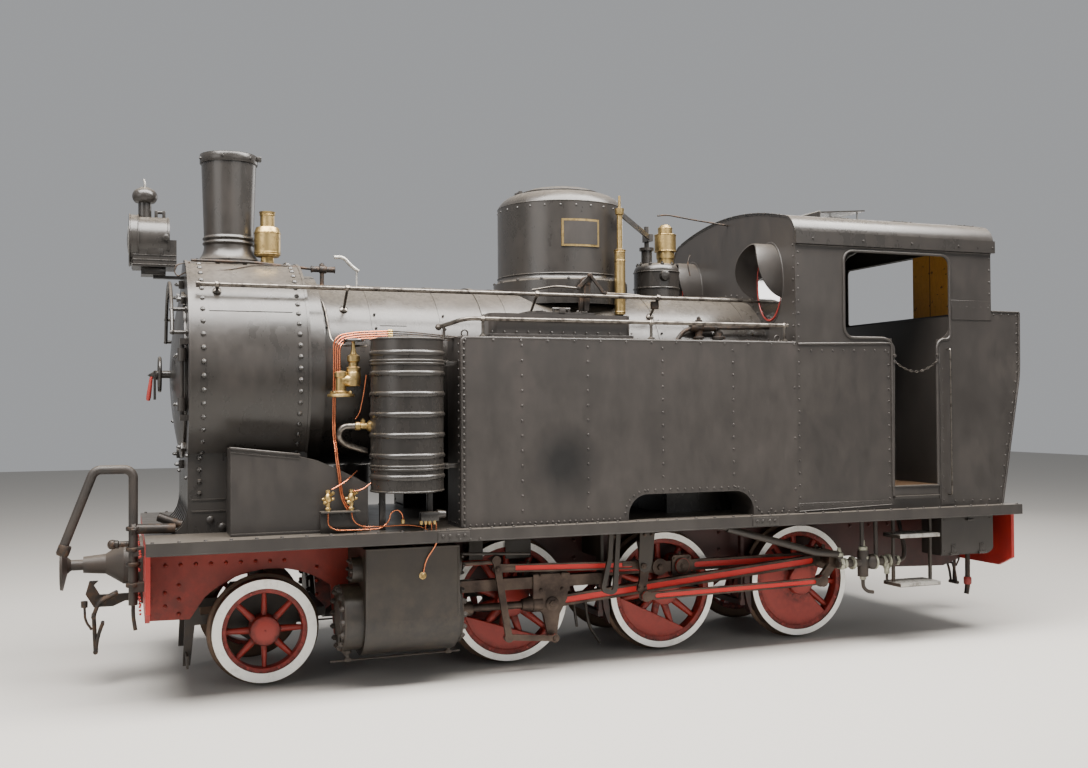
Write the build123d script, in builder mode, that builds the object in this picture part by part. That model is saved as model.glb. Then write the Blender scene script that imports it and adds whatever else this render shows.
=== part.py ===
from build123d import *
import os
from math import atan2, cos, degrees, hypot, radians, sin, sqrt

os.makedirs("parts", exist_ok=True)

# A narrow-gauge steam tank locomotive with a leading truck and three driven axles, in
# millimetres. X runs from the chimney end (-) to the bunker end (+), Y from the
# driver's left side (-) to the right side (+), and Z up from the lowest point of the
# wheel flanges. The origin is below the middle of the length over the buffers.

# Lengths along the engine
buffer_face = 4070
beam_face = 3520
beam_thick = 30
smokebox_front, smokebox_rear = -3240, -2430
tank_front, cab_front_face = -1420, 1354
window_front, window_rear = 1801, 2855
door_front, door_rear = 2264, 2717
backhead_x, bulkhead_x = 1720, 2860
cab_back, bunker_back, bunker_foot = 3294, 3597, 3392

# Heights
rail = 28
deck_top, valance_foot = 1105, 1022
boiler_z = 2212
tank_top = 2463
floor_top, window_foot, window_top = 1279, 2503, 3209
bunker_knee, bunker_top = 2208, 2745
gutter_foot, gutter_top, eave, roof_top = 3246, 3348, 3330, 3602

# Half widths
tank_side, deck_side = 1050, 1140
frame_inner, frame_outer = 375, 400

# Boiler, chimney and smokebox door
smokebox_r, barrel_r, shell = 836, 692, 14
chimney_x, chimney_top, chimney_bore, smoke_hole = -2914, 3850, 162, 200
firebox_side = 600
hinge_y, hinge_rod_r, door_hinge_x, door_gap = -650, 14, smokebox_front - 40, 3

# Plate thicknesses
deck_plate, side_plate, cab_plate = 8, 8, 8

# Wheels: treads, tyre widths and the layers from the wheel backs outwards
leading_tread, driver_tread, flange_depth = 365, 460, 28
wheel_back, tyre_face = 440, 570
axle_r, hub_face = 75, 600
crank_throw, crank_pin_r = 230, 45
rod_inner, rod_outer, pin_end = 605, 675, 692
leading_x, leading_z = -2717, rail + leading_tread
driver_z = rail + driver_tread
driver_x = {"driver_1": -891, "driver_2": 395, "driver_3": 1673}
crank_angle = {-1: 60, 1: 150}

# Cylinders and motion: centre line, and the layers outside the coupling rods
cylinder_y, cylinder_front, cylinder_rear, cylinder_r = 775, -2100, -1430, 268
main_rod_inner, main_rod_outer = 715, 775
main_rod_length = 2445
running_fit, flute_depth = 0.05, 8


def side_plane(side, inner):
    """The upright plane at that distance from the centre line, drawn in X and Z."""
    return Plane.XZ.offset(-side * inner)


def across(x, z):
    """A plane through the centre line at x and z, drawn in Y (across) and Z (up)."""
    return Plane(origin=(x, 0, z), x_dir=(0, 1, 0), z_dir=(1, 0, 0))


def finish(piece, name):
    """Labels a finished piece and writes its STEP file."""
    piece.part.label = name
    export_step(piece.part, f"parts/{name}.step")


def crank_pin(axle, side):
    """X and Z of an axle's crank pin on that side."""
    angle = radians(crank_angle[side])
    return driver_x[axle] + crank_throw * cos(angle), driver_z + crank_throw * sin(angle)


def bar(side, inner, thick, start, end, width=64, bosses=(50, 50), flute=0):
    """A flat link between two pins, with round ends and a flute that wide in its outer face."""
    (x0, z0), (x1, z1) = start, end
    with BuildSketch(side_plane(side, inner)) as link:
        with Locations(((x0 + x1) / 2, (z0 + z1) / 2)):
            Rectangle(hypot(x1 - x0, z1 - z0), width, rotation=degrees(atan2(z1 - z0, x1 - x0)))
        for (x, z), radius in zip((start, end), bosses):
            with Locations((x, z)):
                Circle(radius)
    extrude(link.sketch, amount=-side * thick)
    if flute:
        with BuildSketch(side_plane(side, inner + thick - flute_depth)) as groove:
            with Locations(((x0 + x1) / 2, (z0 + z1) / 2)):
                SlotOverall(hypot(x1 - x0, z1 - z0) - 1.6 * sum(bosses), flute,
                            rotation=degrees(atan2(z1 - z0, x1 - x0)))
        extrude(groove.sketch, amount=-side * flute_depth, mode=Mode.SUBTRACT)


def pin(side, inner, outer, x, z, radius, mode=Mode.ADD):
    """A pin across the engine from one layer out to another."""
    with BuildSketch(side_plane(side, inner)) as end_face:
        with Locations((x, z)):
            Circle(radius)
    extrude(end_face.sketch, amount=-side * (outer - inner), mode=mode)


def crosshead_at(side):
    """X of the crosshead pin on that side, from the crank and the rod's length."""
    x, z = crank_pin("driver_3", side)
    return x - sqrt(main_rod_length**2 - (z - driver_z) ** 2)


# Main frame: two deep plates joined by stretchers, arched over the leading wheels
frame_end = beam_face - beam_thick
arch_front, arch_crown, arch_rear = (-3113, 630), (-2697, 805), (-2230, 663)
horn_top, horn_foot, horn_half = 640, 380, 169
stretchers = [(-3300, 560, 1080), (-2320, 840, 1080), (-1310, 640, 1080),
              (-240, 660, 1080), (2500, 600, 1080), (3250, 560, 1080)]
with BuildPart() as main_frame:
    for side in (-1, 1):
        with BuildSketch(side_plane(side, frame_inner)):
            with BuildLine():
                Polyline((frame_end, deck_top - deck_plate), (-frame_end, deck_top - deck_plate),
                         (-frame_end, 487), (-3215, 482), arch_front)
                ThreePointArc(arch_front, arch_crown, arch_rear)
                Polyline(arch_rear, (-2203, 300), (-2050, 420), (-1400, 560), (-1180, horn_top),
                         (2300, horn_top), (2700, 520), (3300, 500), (frame_end, 560),
                         (frame_end, deck_top - deck_plate))
            make_face()
            for x in driver_x.values():
                with Locations((x, (horn_foot + horn_top) / 2)):
                    Rectangle(2 * horn_half, horn_top - horn_foot)
            for x in driver_x.values():
                with Locations((x, 435)):
                    Rectangle(170, 320, mode=Mode.SUBTRACT)
        extrude(amount=-side * (frame_outer - frame_inner))
    for x, low, high in stretchers:
        with Locations((x, 0, (low + high) / 2)):
            Box(16, 2 * frame_inner, high - low)
    with Locations((leading_x, 0, 880)):
        Box(160, 2 * frame_inner, 20)
finish(main_frame, "main_frame")

# Axleboxes in the frame's horns, each with its leaf spring standing on it inside the frame
with BuildPart() as axleboxes:
    for x in driver_x.values():
        for side in (-1, 1):
            with BuildSketch(side_plane(side, 300)):
                with Locations((x, driver_z)):
                    Rectangle(166, 210)
                    Circle(axle_r + running_fit, mode=Mode.SUBTRACT)
            extrude(amount=-side * 105)
            with Locations((x, side * 335, 645)):
                Box(40, 40, 104)
            for leaf in range(5):
                with Locations((x, side * 335, 702 + leaf * 12)):
                    Box(740 - leaf * 130, 66, 12)
            with Locations((x, side * 335, 730)):
                Box(70, 74, 76)
finish(axleboxes, "axleboxes_and_springs")

# Buffer beams at both ends, their lower corners cut off
with BuildPart() as buffer_beams:
    for x in (-beam_face, beam_face - beam_thick):
        with BuildSketch(Plane.YZ.offset(x)):
            with BuildLine():
                Polyline((-1040, deck_top - deck_plate), (-1040, 640), (-880, 560), (880, 560),
                         (1040, 640), (1040, deck_top - deck_plate), close=True)
            make_face()
        extrude(amount=beam_thick)
finish(buffer_beams, "buffer_beams")

# Central buffers: disc, shaft and tapered casting, one at each end
buffer_z = 850
buffer_line = [(0, 0), (0, 172), (18, 176), (46, 60), (70, 38), (150, 38), (150, 58),
               (300, 72), (420, 150), (buffer_face - beam_face - 24, 150),
               (buffer_face - beam_face - 24, 190), (buffer_face - beam_face, 190),
               (buffer_face - beam_face, 0)]
with BuildPart() as buffers:
    for end in (-1, 1):
        with BuildSketch(Plane.XZ):
            with BuildLine():
                Polyline(*[(end * (buffer_face - along), buffer_z + radius)
                           for along, radius in buffer_line], close=True)
            make_face()
        revolve(axis=Axis((0, 0, buffer_z), (1, 0, 0)))
finish(buffers, "buffers")

# Draw hooks below the buffers, with their plates and hanging screw links
with BuildPart() as draw_hooks:
    for end in (-1, 1):
        with BuildSketch(Plane.XZ.offset(-20)):
            with BuildLine():
                Polyline((end * beam_face, 630), (end * (beam_face + 150), 630),
                         (end * (beam_face + 290), 630), (end * (beam_face + 330), 700),
                         (end * (beam_face + 300), 730), (end * (beam_face + 360), 730),
                         (end * (beam_face + 385), 640), (end * (beam_face + 330), 545),
                         (end * (beam_face + 200), 545), (end * (beam_face + 120), 580),
                         (end * beam_face, 580), close=True)
            make_face()
        extrude(amount=40)
        with Locations((end * (beam_face + 6), 0, 605)):
            Box(12, 180, 84)
finish(draw_hooks, "draw_hooks")

# Running boards: the deck plate with its valances, open between the frames
with BuildPart() as running_boards:
    with BuildSketch(Plane.XY.offset(deck_top - deck_plate)):
        Rectangle(2 * beam_face, 2 * deck_side)
        with Locations(((500 + 1560) / 2, 0)):
            Rectangle(1060, 580, mode=Mode.SUBTRACT)
    extrude(amount=deck_plate)
    for side in (-1, 1):
        with Locations((0, side * (deck_side - 6), (deck_top - deck_plate + valance_foot) / 2)):
            Box(2 * beam_face, 12, deck_top - deck_plate - valance_foot)
finish(running_boards, "running_boards")

# Smokebox: riveted drum, front ring plate with its apron, and the saddle below
saddle_y = 620
with BuildPart() as smokebox:
    with BuildSketch(Plane.YZ.offset(smokebox_front + 20)):
        with Locations((0, boiler_z)):
            Circle(smokebox_r)
            Circle(smokebox_r - shell, mode=Mode.SUBTRACT)
    extrude(amount=smokebox_rear - smokebox_front - 20)
    with BuildSketch(Plane.YZ.offset(smokebox_front)):
        with Locations((0, boiler_z)):
            Circle(smokebox_r)
        with Locations((0, (boiler_z + deck_top) / 2)):
            Rectangle(2 * saddle_y, boiler_z - deck_top)
        with Locations((0, boiler_z)):
            Circle(590, mode=Mode.SUBTRACT)
    extrude(amount=20)
    with BuildSketch(Plane.YZ.offset(smokebox_rear - 20)):
        with Locations((0, boiler_z)):
            Circle(smokebox_r - shell)
    extrude(amount=20)
    saddle_top = boiler_z - sqrt((smokebox_r - shell / 2) ** 2 - saddle_y**2)
    for side in (-1, 1):
        with Locations(((smokebox_front + 20 + smokebox_rear) / 2, side * (saddle_y - 10),
                        (deck_top + saddle_top) / 2)):
            Box(smokebox_rear - smokebox_front - 20, 20, saddle_top - deck_top)
    with Locations((smokebox_rear - 10, 0, (deck_top + saddle_top) / 2)):
        Box(20, 2 * saddle_y - 40, saddle_top - deck_top)
    with Locations((chimney_x, 0, boiler_z + smokebox_r)):
        Cylinder(smoke_hole, 200, mode=Mode.SUBTRACT)
    with Locations((door_hinge_x, hinge_y, 2160)):
        Cylinder(hinge_rod_r, 560)
    for z in (1900, 2420):
        with Locations((smokebox_front - 27, hinge_y, z)):
            Box(54, 60, 40)
finish(smokebox, "smokebox")

# Smokebox door: a dished disc with two straps, on a hinge rod at its left edge
with BuildPart() as smokebox_door:
    with BuildSketch(Plane.XZ):
        with BuildLine():
            dish = ThreePointArc((smokebox_front - 96, boiler_z), (smokebox_front - 72, boiler_z + 320),
                                 (smokebox_front - 16, boiler_z + 610))
            Line(dish @ 1, (smokebox_front - door_gap, boiler_z + 610))
            Line((smokebox_front - door_gap, boiler_z + 610), (smokebox_front - door_gap, boiler_z))
            Line((smokebox_front - door_gap, boiler_z), dish @ 0)
        make_face()
    revolve(axis=Axis((0, 0, boiler_z), (1, 0, 0)))
    with BuildSketch(Plane.YZ.offset(smokebox_front - door_gap - 24)):
        for z in (1990, 2330):
            with Locations((-420, z)):
                Rectangle(480, 70)
    extrude(amount=-34, mode=Mode.ADD)
    for z in (1990, 2330):
        with Locations((door_hinge_x, hinge_y, z)):
            Cylinder(hinge_rod_r + 16, 90)
            Cylinder(hinge_rod_r + running_fit, 90, mode=Mode.SUBTRACT)
    with BuildSketch(Plane.YZ.offset(smokebox_front - 90)):
        with Locations((0, boiler_z)):
            Circle(28)
    extrude(amount=-110)
    with Locations(Location((smokebox_front - 165, 0, boiler_z), (0, 90, 0))):
        Torus(120, 13)
        Box(26, 240, 16)
        Box(240, 26, 16)
    with BuildSketch(Plane.YZ.offset(smokebox_front - 190)):
        with Locations((-20, boiler_z - 80)):
            Rectangle(26, 210)
    extrude(amount=-18)
finish(smokebox_door, "smokebox_door")

# Chimney: flared skirt, beads, tapering barrel and rim, bored through
with BuildPart() as chimney:
    with BuildSketch(Plane.XZ):
        with BuildLine():
            Polyline((chimney_x + chimney_bore, boiler_z + 740), (chimney_x + chimney_bore, chimney_top),
                     (chimney_x + 209, chimney_top), (chimney_x + 209, chimney_top - 30),
                     (chimney_x + 200, chimney_top - 36), (chimney_x + 180, 3240),
                     (chimney_x + 190, 3222), (chimney_x + 180, 3204), (chimney_x + 190, 3186),
                     (chimney_x + 180, 3168))
            skirt = ThreePointArc((chimney_x + 180, 3168), (chimney_x + 194, 3105),
                                  (chimney_x + 229, 3060))
            Line(skirt @ 1, (chimney_x + 229, boiler_z + 740))
            Line((chimney_x + 229, boiler_z + 740), (chimney_x + chimney_bore, boiler_z + 740))
        make_face()
    revolve(axis=Axis((chimney_x, 0, 0), (0, 0, 1)))
    with Locations(Location(((smokebox_front + smokebox_rear) / 2, 0, boiler_z), (0, 90, 0))):
        Cylinder(smokebox_r, 1400, mode=Mode.SUBTRACT)
finish(chimney, "chimney")

# Boiler: cladded barrel with bands, and the firebox wrapper down to the deck
band_x = (-2320, -1960, -1440, -900, 350, 1180)
with BuildPart() as boiler:
    with BuildSketch(Plane.YZ.offset(smokebox_rear)):
        with Locations((0, boiler_z)):
            Circle(barrel_r + 60)
    extrude(amount=110)
    with BuildSketch(Plane.YZ.offset(smokebox_rear)):
        with Locations((0, boiler_z)):
            Circle(barrel_r)
    extrude(amount=backhead_x - smokebox_rear)
    with BuildSketch(Plane.YZ.offset(420)):
        with Locations((0, (boiler_z + deck_top) / 2)):
            Rectangle(2 * firebox_side, boiler_z - deck_top)
    extrude(amount=backhead_x - 420)
    for x in band_x:
        with BuildSketch(Plane.YZ.offset(x)):
            with Locations((0, boiler_z)):
                Circle(barrel_r + 4)
        extrude(amount=60)
finish(boiler, "boiler")

# Ash pan between the frames, under the firebox
with BuildPart() as ash_pan:
    with BuildSketch(Plane.XZ.offset(-290)):
        with BuildLine():
            Polyline((500, deck_top), (500, 860), (640, 660), (1440, 660), (1560, 800),
                     (1560, deck_top), close=True)
        make_face()
    extrude(amount=2 * 290)
    with BuildSketch(Plane.XZ.offset(-275)):
        with BuildLine():
            Polyline((515, deck_top), (515, 862), (646, 675), (1434, 675), (1545, 805),
                     (1545, deck_top), close=True)
        make_face()
    extrude(amount=2 * 275, mode=Mode.SUBTRACT)
finish(ash_pan, "ash_pan")

# Backhead fittings in the cab: fire door, gauge column and regulator
with BuildPart() as backhead_fittings:
    with BuildSketch(Plane.YZ.offset(backhead_x)):
        with Locations((0, 1760)):
            Ellipse(210, 170)
    extrude(amount=30)
    with BuildSketch(Plane.YZ.offset(backhead_x)):
        for y in (-260, 260):
            with Locations((y, 2320)):
                Rectangle(44, 360)
        with Locations((0, 2640)):
            Circle(80)
        with Locations((0, 2420)):
            Circle(50)
    extrude(amount=60)
    with BuildSketch(Plane.YZ.offset(backhead_x + 60)):
        with Locations((0, 2420)):
            Rectangle(40, 460, rotation=35)
    extrude(amount=20)
finish(backhead_fittings, "backhead_fittings")

# Dome: steam dome and sand box under one cylindrical casing
dome_x, dome_r, dome_shoulder, dome_top = -248, 520, 3590, 3690
lid_r, lid_hinge_x = 330, dome_x - 365
with BuildPart() as dome:
    with BuildSketch(Plane.XZ):
        with BuildLine():
            Line((dome_x, boiler_z + 560), (dome_x + dome_r + 36, boiler_z + 560))
            Line((dome_x + dome_r + 36, boiler_z + 560), (dome_x + dome_r + 36, 2960))
            foot = ThreePointArc((dome_x + dome_r + 36, 2960), (dome_x + dome_r + 10, 2975),
                                 (dome_x + dome_r, 3010))
            Line(foot @ 1, (dome_x + dome_r, dome_shoulder))
            shoulder = ThreePointArc((dome_x + dome_r, dome_shoulder),
                                     (dome_x + dome_r - 42, dome_top - 42), (dome_x + 400, dome_top))
            Line(shoulder @ 1, (dome_x, dome_top))
            Line((dome_x, dome_top), (dome_x, boiler_z + 560))
        make_face()
    revolve(axis=Axis((dome_x, 0, 0), (0, 0, 1)))
    with Locations(Location((0, 0, boiler_z), (0, 90, 0))):
        Cylinder(barrel_r, 4000, mode=Mode.SUBTRACT)
    with Locations((dome_x, 0, dome_top - 150)):
        Cylinder(260, 300, mode=Mode.SUBTRACT)
    with Locations(Location((lid_hinge_x, 0, dome_top + 20), (90, 0, 0))):
        Cylinder(8, 130)
    for y in (-50, 50):
        with Locations((lid_hinge_x, y, dome_top + 16)):
            Box(26, 26, 32)
finish(dome, "dome")

# Sand box lid on the dome, hinged at its front edge
with BuildPart() as dome_lid:
    with BuildSketch(Plane.XZ):
        with BuildLine():
            Polyline((dome_x, dome_top + 6), (dome_x + lid_r, dome_top + 6),
                     (dome_x + lid_r, dome_top + 30), (dome_x + lid_r - 60, dome_top + 52),
                     (dome_x, dome_top + 62), close=True)
        make_face()
    revolve(axis=Axis((dome_x, 0, 0), (0, 0, 1)))
    with Locations((dome_x - lid_r - 4, 0, dome_top + 20)):
        Box(60, 60, 16)
    with Locations(Location((lid_hinge_x, 0, dome_top + 20), (90, 0, 0))):
        Cylinder(15, 60)
        Cylinder(8 + running_fit, 60, mode=Mode.SUBTRACT)
finish(dome_lid, "dome_lid")

# Safety valves on the firebox: black base with the loaded valve and its lever
safety_x, safety_top = 640, 3173
valve_x, lever_start, lever_end = 548, (88, -494, 3499), (548, -60, 3392)
with BuildPart() as safety_valve:
    with BuildSketch(Plane.XZ):
        with BuildLine():
            side_line = Line((safety_x + 194, boiler_z + 640), (safety_x + 194, 3100))
            shoulder = ThreePointArc(side_line @ 1, (safety_x + 180, 3145), (safety_x + 140, safety_top))
            Polyline(shoulder @ 1, (safety_x, safety_top), (safety_x, boiler_z + 640), side_line @ 0)
        make_face()
    revolve(axis=Axis((safety_x, 0, 0), (0, 0, 1)))
    with Locations(Location((0, 0, boiler_z), (0, 90, 0))):
        Cylinder(barrel_r, 4000, mode=Mode.SUBTRACT)
    for z, radius, height in ((3240, 46, 140), (3300, 62, 26), (3400, 20, 190)):
        with Locations((valve_x, 0, z)):
            Cylinder(radius, height)
    with Locations((valve_x, -25, 3392)):
        Box(50, 110, 60)
    along = Vector(*lever_end) - Vector(*lever_start)
    with BuildSketch(Plane(origin=lever_start, x_dir=(0, 0, 1), z_dir=along)):
        Rectangle(44, 16)
    extrude(amount=along.length)
finish(safety_valve, "safety_valve_base")

# Brass fittings as turned columns: spring balance beside the dome, its outer case and
# inner tube; the second safety valve; and the relief valve behind the chimney
turned = {
    "balance": (60, -520, [(43, 2690), (43, 3195), (50, 3205), (22, 3215), (22, 3486), (34, 3492),
                           (38, 3537), (10, 3545), (10, 3640)]),
    "safety": (727, 0, [(70, safety_top), (70, 3226), (78, 3226), (78, 3285), (92, 3290), (92, 3430),
                        (62, 3436), (62, 3490), (36, 3518)]),
    "relief": (-2648, -135, [(48, 3020), (48, 3084), (84, 3088), (95, 3110), (95, 3270), (82, 3306),
                             (52, 3314), (52, 3396), (60, 3424)]),
}
with BuildPart() as brass_valves:
    for x, y, outline in turned.values():
        with BuildSketch(Plane.XZ.offset(-y)):
            with BuildLine():
                Polyline((x, outline[0][1]), *[(x + radius, z) for radius, z in outline],
                         (x, outline[-1][1]), close=True)
            make_face()
        revolve(axis=Axis((x, y, 0), (0, 0, 1)))
    with Locations(Location((0, 0, boiler_z), (0, 90, 0))):
        Cylinder(barrel_r, 4000, mode=Mode.SUBTRACT)
    with Locations(Location(((smokebox_front + smokebox_rear) / 2, 0, boiler_z), (0, 90, 0))):
        Cylinder(smokebox_r, smokebox_rear - smokebox_front, mode=Mode.SUBTRACT)
finish(brass_valves, "brass_valves")

# Side tanks, each with its filler box and the opening over the second axle
cut_front, cut_rear, cut_top, cut_r = -122, 950, 1298, 160
tank_inner = 705
filler_front, filler_rear, filler_top = -1180, -60, 2640
for side, name in ((-1, "tank_left"), (1, "tank_right")):
    with BuildPart() as tank:
        with BuildSketch(side_plane(side, tank_inner)):
            with BuildLine():
                Polyline((cut_rear, deck_top), (cab_front_face - cab_plate, deck_top),
                         (cab_front_face - cab_plate, tank_top), (tank_front, tank_top),
                         (tank_front, deck_top), (cut_front, deck_top))
                FilletPolyline((cut_front, deck_top), (cut_front, cut_top), (cut_rear, cut_top),
                               (cut_rear, deck_top), radius=cut_r)
            make_face()
        extrude(amount=-side * (tank_side - tank_inner))
        outer = tank.edges().filter_by(Axis.Z).filter_by_position(Axis.X, tank_front - 1, tank_front + 1)
        fillet(outer.sort_by(Axis.Y)[0 if side < 0 else -1], 45)
        with BuildSketch(Plane.XY.offset(tank_top)):
            with Locations(((filler_front + filler_rear) / 2, side * 870)):
                RectangleRounded(filler_rear - filler_front, 250, 60)
        extrude(amount=filler_top - tank_top)
        with BuildSketch(Plane.XY.offset(filler_top)):
            with Locations(((filler_front + filler_rear) / 2, side * 870)):
                RectangleRounded(480, 150, 30)
        extrude(amount=-400, mode=Mode.SUBTRACT)
    finish(tank, name)

for side, name in ((-1, "filler_lid_left"), (1, "filler_lid_right")):
    with BuildPart() as lid:
        with BuildSketch(Plane.XY.offset(filler_top + 2)):
            with Locations(((filler_front + filler_rear) / 2, side * 870)):
                RectangleRounded(560, 230, 40)
        extrude(amount=14)
        with Locations(Location(((filler_front + filler_rear) / 2, side * 745, filler_top + 14), (0, 90, 0))):
            Cylinder(12, 400)
    finish(lid, name)

# Cab: front with two oval windows, sides with window and doorway, rear, floor and roof
wall_y = tank_side
oval_y, oval_z, oval_half, oval_tall = 676, 2966, 188, 309


def cab_end_outline(foot):
    """The cab's outline across: straight sides, rounded eaves and an arched roof line."""
    Line((-wall_y, foot), (-wall_y, eave))
    eave_left = ThreePointArc((-wall_y, eave), (-1000, 3430), (-880, 3480))
    crown = ThreePointArc(eave_left @ 1, (0, roof_top - 10), (880, 3480))
    ThreePointArc(crown @ 1, (1000, 3430), (wall_y, eave))
    Line((wall_y, eave), (wall_y, foot))
    Line((wall_y, foot), (-wall_y, foot))


with BuildPart() as cab_front:
    with BuildSketch(Plane.YZ.offset(cab_front_face - cab_plate)):
        with BuildLine():
            cab_end_outline(deck_top)
        make_face()
        with Locations((0, boiler_z)):
            Circle(barrel_r, mode=Mode.SUBTRACT)
        with Locations((0, (boiler_z + deck_top) / 2)):
            Rectangle(2 * firebox_side, boiler_z - deck_top, mode=Mode.SUBTRACT)
        for y in (-oval_y, oval_y):
            with Locations((y, oval_z)):
                Ellipse(oval_half, oval_tall, mode=Mode.SUBTRACT)
    extrude(amount=cab_plate)
finish(cab_front, "cab_front")

# Hoods round the oval windows: short tubes cut back in a curve, deepest at the top
hood_front = 1100
with BuildPart() as window_hoods:
    for y in (-oval_y, oval_y):
        with BuildSketch(Plane.YZ.offset(hood_front)):
            with Locations((y, oval_z)):
                Ellipse(oval_half + 12, oval_tall + 12)
                Ellipse(oval_half + 4, oval_tall + 4, mode=Mode.SUBTRACT)
        extrude(amount=cab_front_face - cab_plate - hood_front)
    with BuildSketch(Plane.XZ.offset(-1000)):
        with BuildLine():
            lip = ThreePointArc((1185, 3290), (1125, 3080), (1346, 2830))
            Polyline(lip @ 1, (1346, 2500), (1000, 2500), (1000, 3400), (1185, 3400), lip @ 0)
        make_face()
    extrude(amount=2000, mode=Mode.SUBTRACT)
finish(window_hoods, "window_hoods")

with BuildPart() as cab_glass:
    with BuildSketch(Plane.YZ.offset(cab_front_face - 7)):
        for y in (-oval_y, oval_y):
            with Locations((y, oval_z)):
                Ellipse(oval_half, oval_tall)
    extrude(amount=6)
finish(cab_glass, "cab_glass")

with BuildSketch() as side_window:
    with BuildLine():
        FilletPolyline((window_front, window_top), (window_rear, window_top),
                       (window_rear, window_foot), (window_front, window_foot),
                       radius=[85, 85, 138, 85], close=True)
    make_face()

for side, name in ((-1, "cab_side_left"), (1, "cab_side_right")):
    with BuildPart() as cab_side:
        with BuildSketch(side_plane(side, wall_y - side_plate)):
            with BuildLine():
                Polyline((cab_front_face, deck_top), (cab_front_face, eave), (cab_back, eave),
                         (cab_back, bunker_top), (bunker_back, bunker_top),
                         (bunker_back - 8, bunker_knee), (bunker_foot, deck_top), close=True)
            make_face()
            add(side_window.sketch, mode=Mode.SUBTRACT)
            with Locations(((door_front + door_rear) / 2, (floor_top + window_foot + 60) / 2)):
                Rectangle(door_rear - door_front, window_foot + 60 - floor_top, mode=Mode.SUBTRACT)
        extrude(amount=-side * side_plate)
    finish(cab_side, name)

# Cab rear: one wide opening above the bunker, its left half closed by a sliding shutter
inner_y = wall_y - side_plate
opening_half, opening_foot, opening_top, shutter_edge = 960, 2760, 3318, -80
with BuildPart() as cab_rear:
    with BuildSketch(Plane.YZ.offset(cab_back - cab_plate)):
        with BuildLine():
            Line((-inner_y, bunker_top), (-inner_y, eave))
            rear_left = ThreePointArc((-inner_y, eave), (-995, 3425), (-880, 3474))
            rear_crown = ThreePointArc(rear_left @ 1, (0, roof_top - 16), (880, 3474))
            ThreePointArc(rear_crown @ 1, (995, 3425), (inner_y, eave))
            Line((inner_y, eave), (inner_y, bunker_top))
            Line((inner_y, bunker_top), (-inner_y, bunker_top))
        make_face()
        with Locations((0, (opening_foot + opening_top) / 2)):
            RectangleRounded(2 * opening_half, opening_top - opening_foot, 40, mode=Mode.SUBTRACT)
    extrude(amount=cab_plate)
    for z in (opening_foot - 7, opening_top + 12):
        with Locations((cab_back - cab_plate - 14, 0, z)):
            Box(28, 2 * opening_half, 14)
finish(cab_rear, "cab_rear")

with BuildPart() as rear_shutter:
    with Locations((cab_back - cab_plate - 15, (shutter_edge - opening_half) / 2,
                    (opening_foot + opening_top + 5) / 2)):
        Box(18, shutter_edge + opening_half, opening_top + 5 - opening_foot)
finish(rear_shutter, "rear_shutter")

# Roof: an arched sheet with gutters along both sides
with BuildPart() as cab_roof:
    with BuildSketch(Plane.YZ.offset(cab_front_face - 12)):
        with BuildLine():
            Polyline((-wall_y, eave), (-wall_y, gutter_foot), (-wall_y - 24, gutter_foot),
                     (-wall_y - 24, gutter_top), (-wall_y - 4, gutter_top))
            out_left = ThreePointArc((-wall_y - 4, gutter_top), (-1003, 3448), (-880, 3496))
            out_crown = ThreePointArc(out_left @ 1, (0, roof_top + 4), (880, 3496))
            ThreePointArc(out_crown @ 1, (1003, 3448), (wall_y + 4, gutter_top))
            Polyline((wall_y + 4, gutter_top), (wall_y + 24, gutter_top),
                     (wall_y + 24, gutter_foot), (wall_y, gutter_foot), (wall_y, eave))
            in_right = ThreePointArc((wall_y, eave), (1000, 3430), (880, 3480))
            in_crown = ThreePointArc(in_right @ 1, (0, roof_top - 10), (-880, 3480))
            ThreePointArc(in_crown @ 1, (-1000, 3430), (-wall_y, eave))
        make_face()
    extrude(amount=cab_back + 30 - cab_front_face + 12)
    vent_front, vent_rear = 2090, 2570
    with BuildSketch(Plane.XZ.offset(-300)):
        with BuildLine():
            Polyline((vent_front, roof_top - 4), (vent_front, 3664), (vent_rear, 3702),
                     (vent_rear, 3690), (vent_front + 12, 3652), (vent_front + 12, roof_top - 4),
                     close=True)
        make_face()
    extrude(amount=600)
finish(cab_roof, "cab_roof")

with BuildPart() as cab_floor:
    with Locations(((backhead_x + bulkhead_x) / 2, 0, (deck_top + floor_top) / 2)):
        Box(bulkhead_x - backhead_x, 2 * inner_y, floor_top - deck_top)
finish(cab_floor, "cab_floor")

# Coal bunker behind the cab, open on top, with its inner bulkhead in the cab
with BuildPart() as bunker:
    with BuildSketch(Plane.XZ.offset(-inner_y)):
        with BuildLine():
            Polyline((bulkhead_x, deck_top), (bulkhead_x, bunker_top - 45),
                     (cab_back - 30, bunker_top - 5), (bunker_back, bunker_top - 5),
                     (bunker_back - 8, bunker_knee), (bunker_foot, deck_top), close=True)
        make_face()
    extrude(amount=2 * inner_y)
    with BuildSketch(Plane.XZ.offset(-inner_y + 20)):
        with BuildLine():
            Polyline((bulkhead_x + 8, 1500), (bulkhead_x + 8, bunker_top), (bunker_back - 8, bunker_top),
                     (bunker_back - 16, bunker_knee), (3434, 1500), close=True)
        make_face()
    extrude(amount=2 * (inner_y - 20), mode=Mode.SUBTRACT)
finish(bunker, "bunker")

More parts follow.
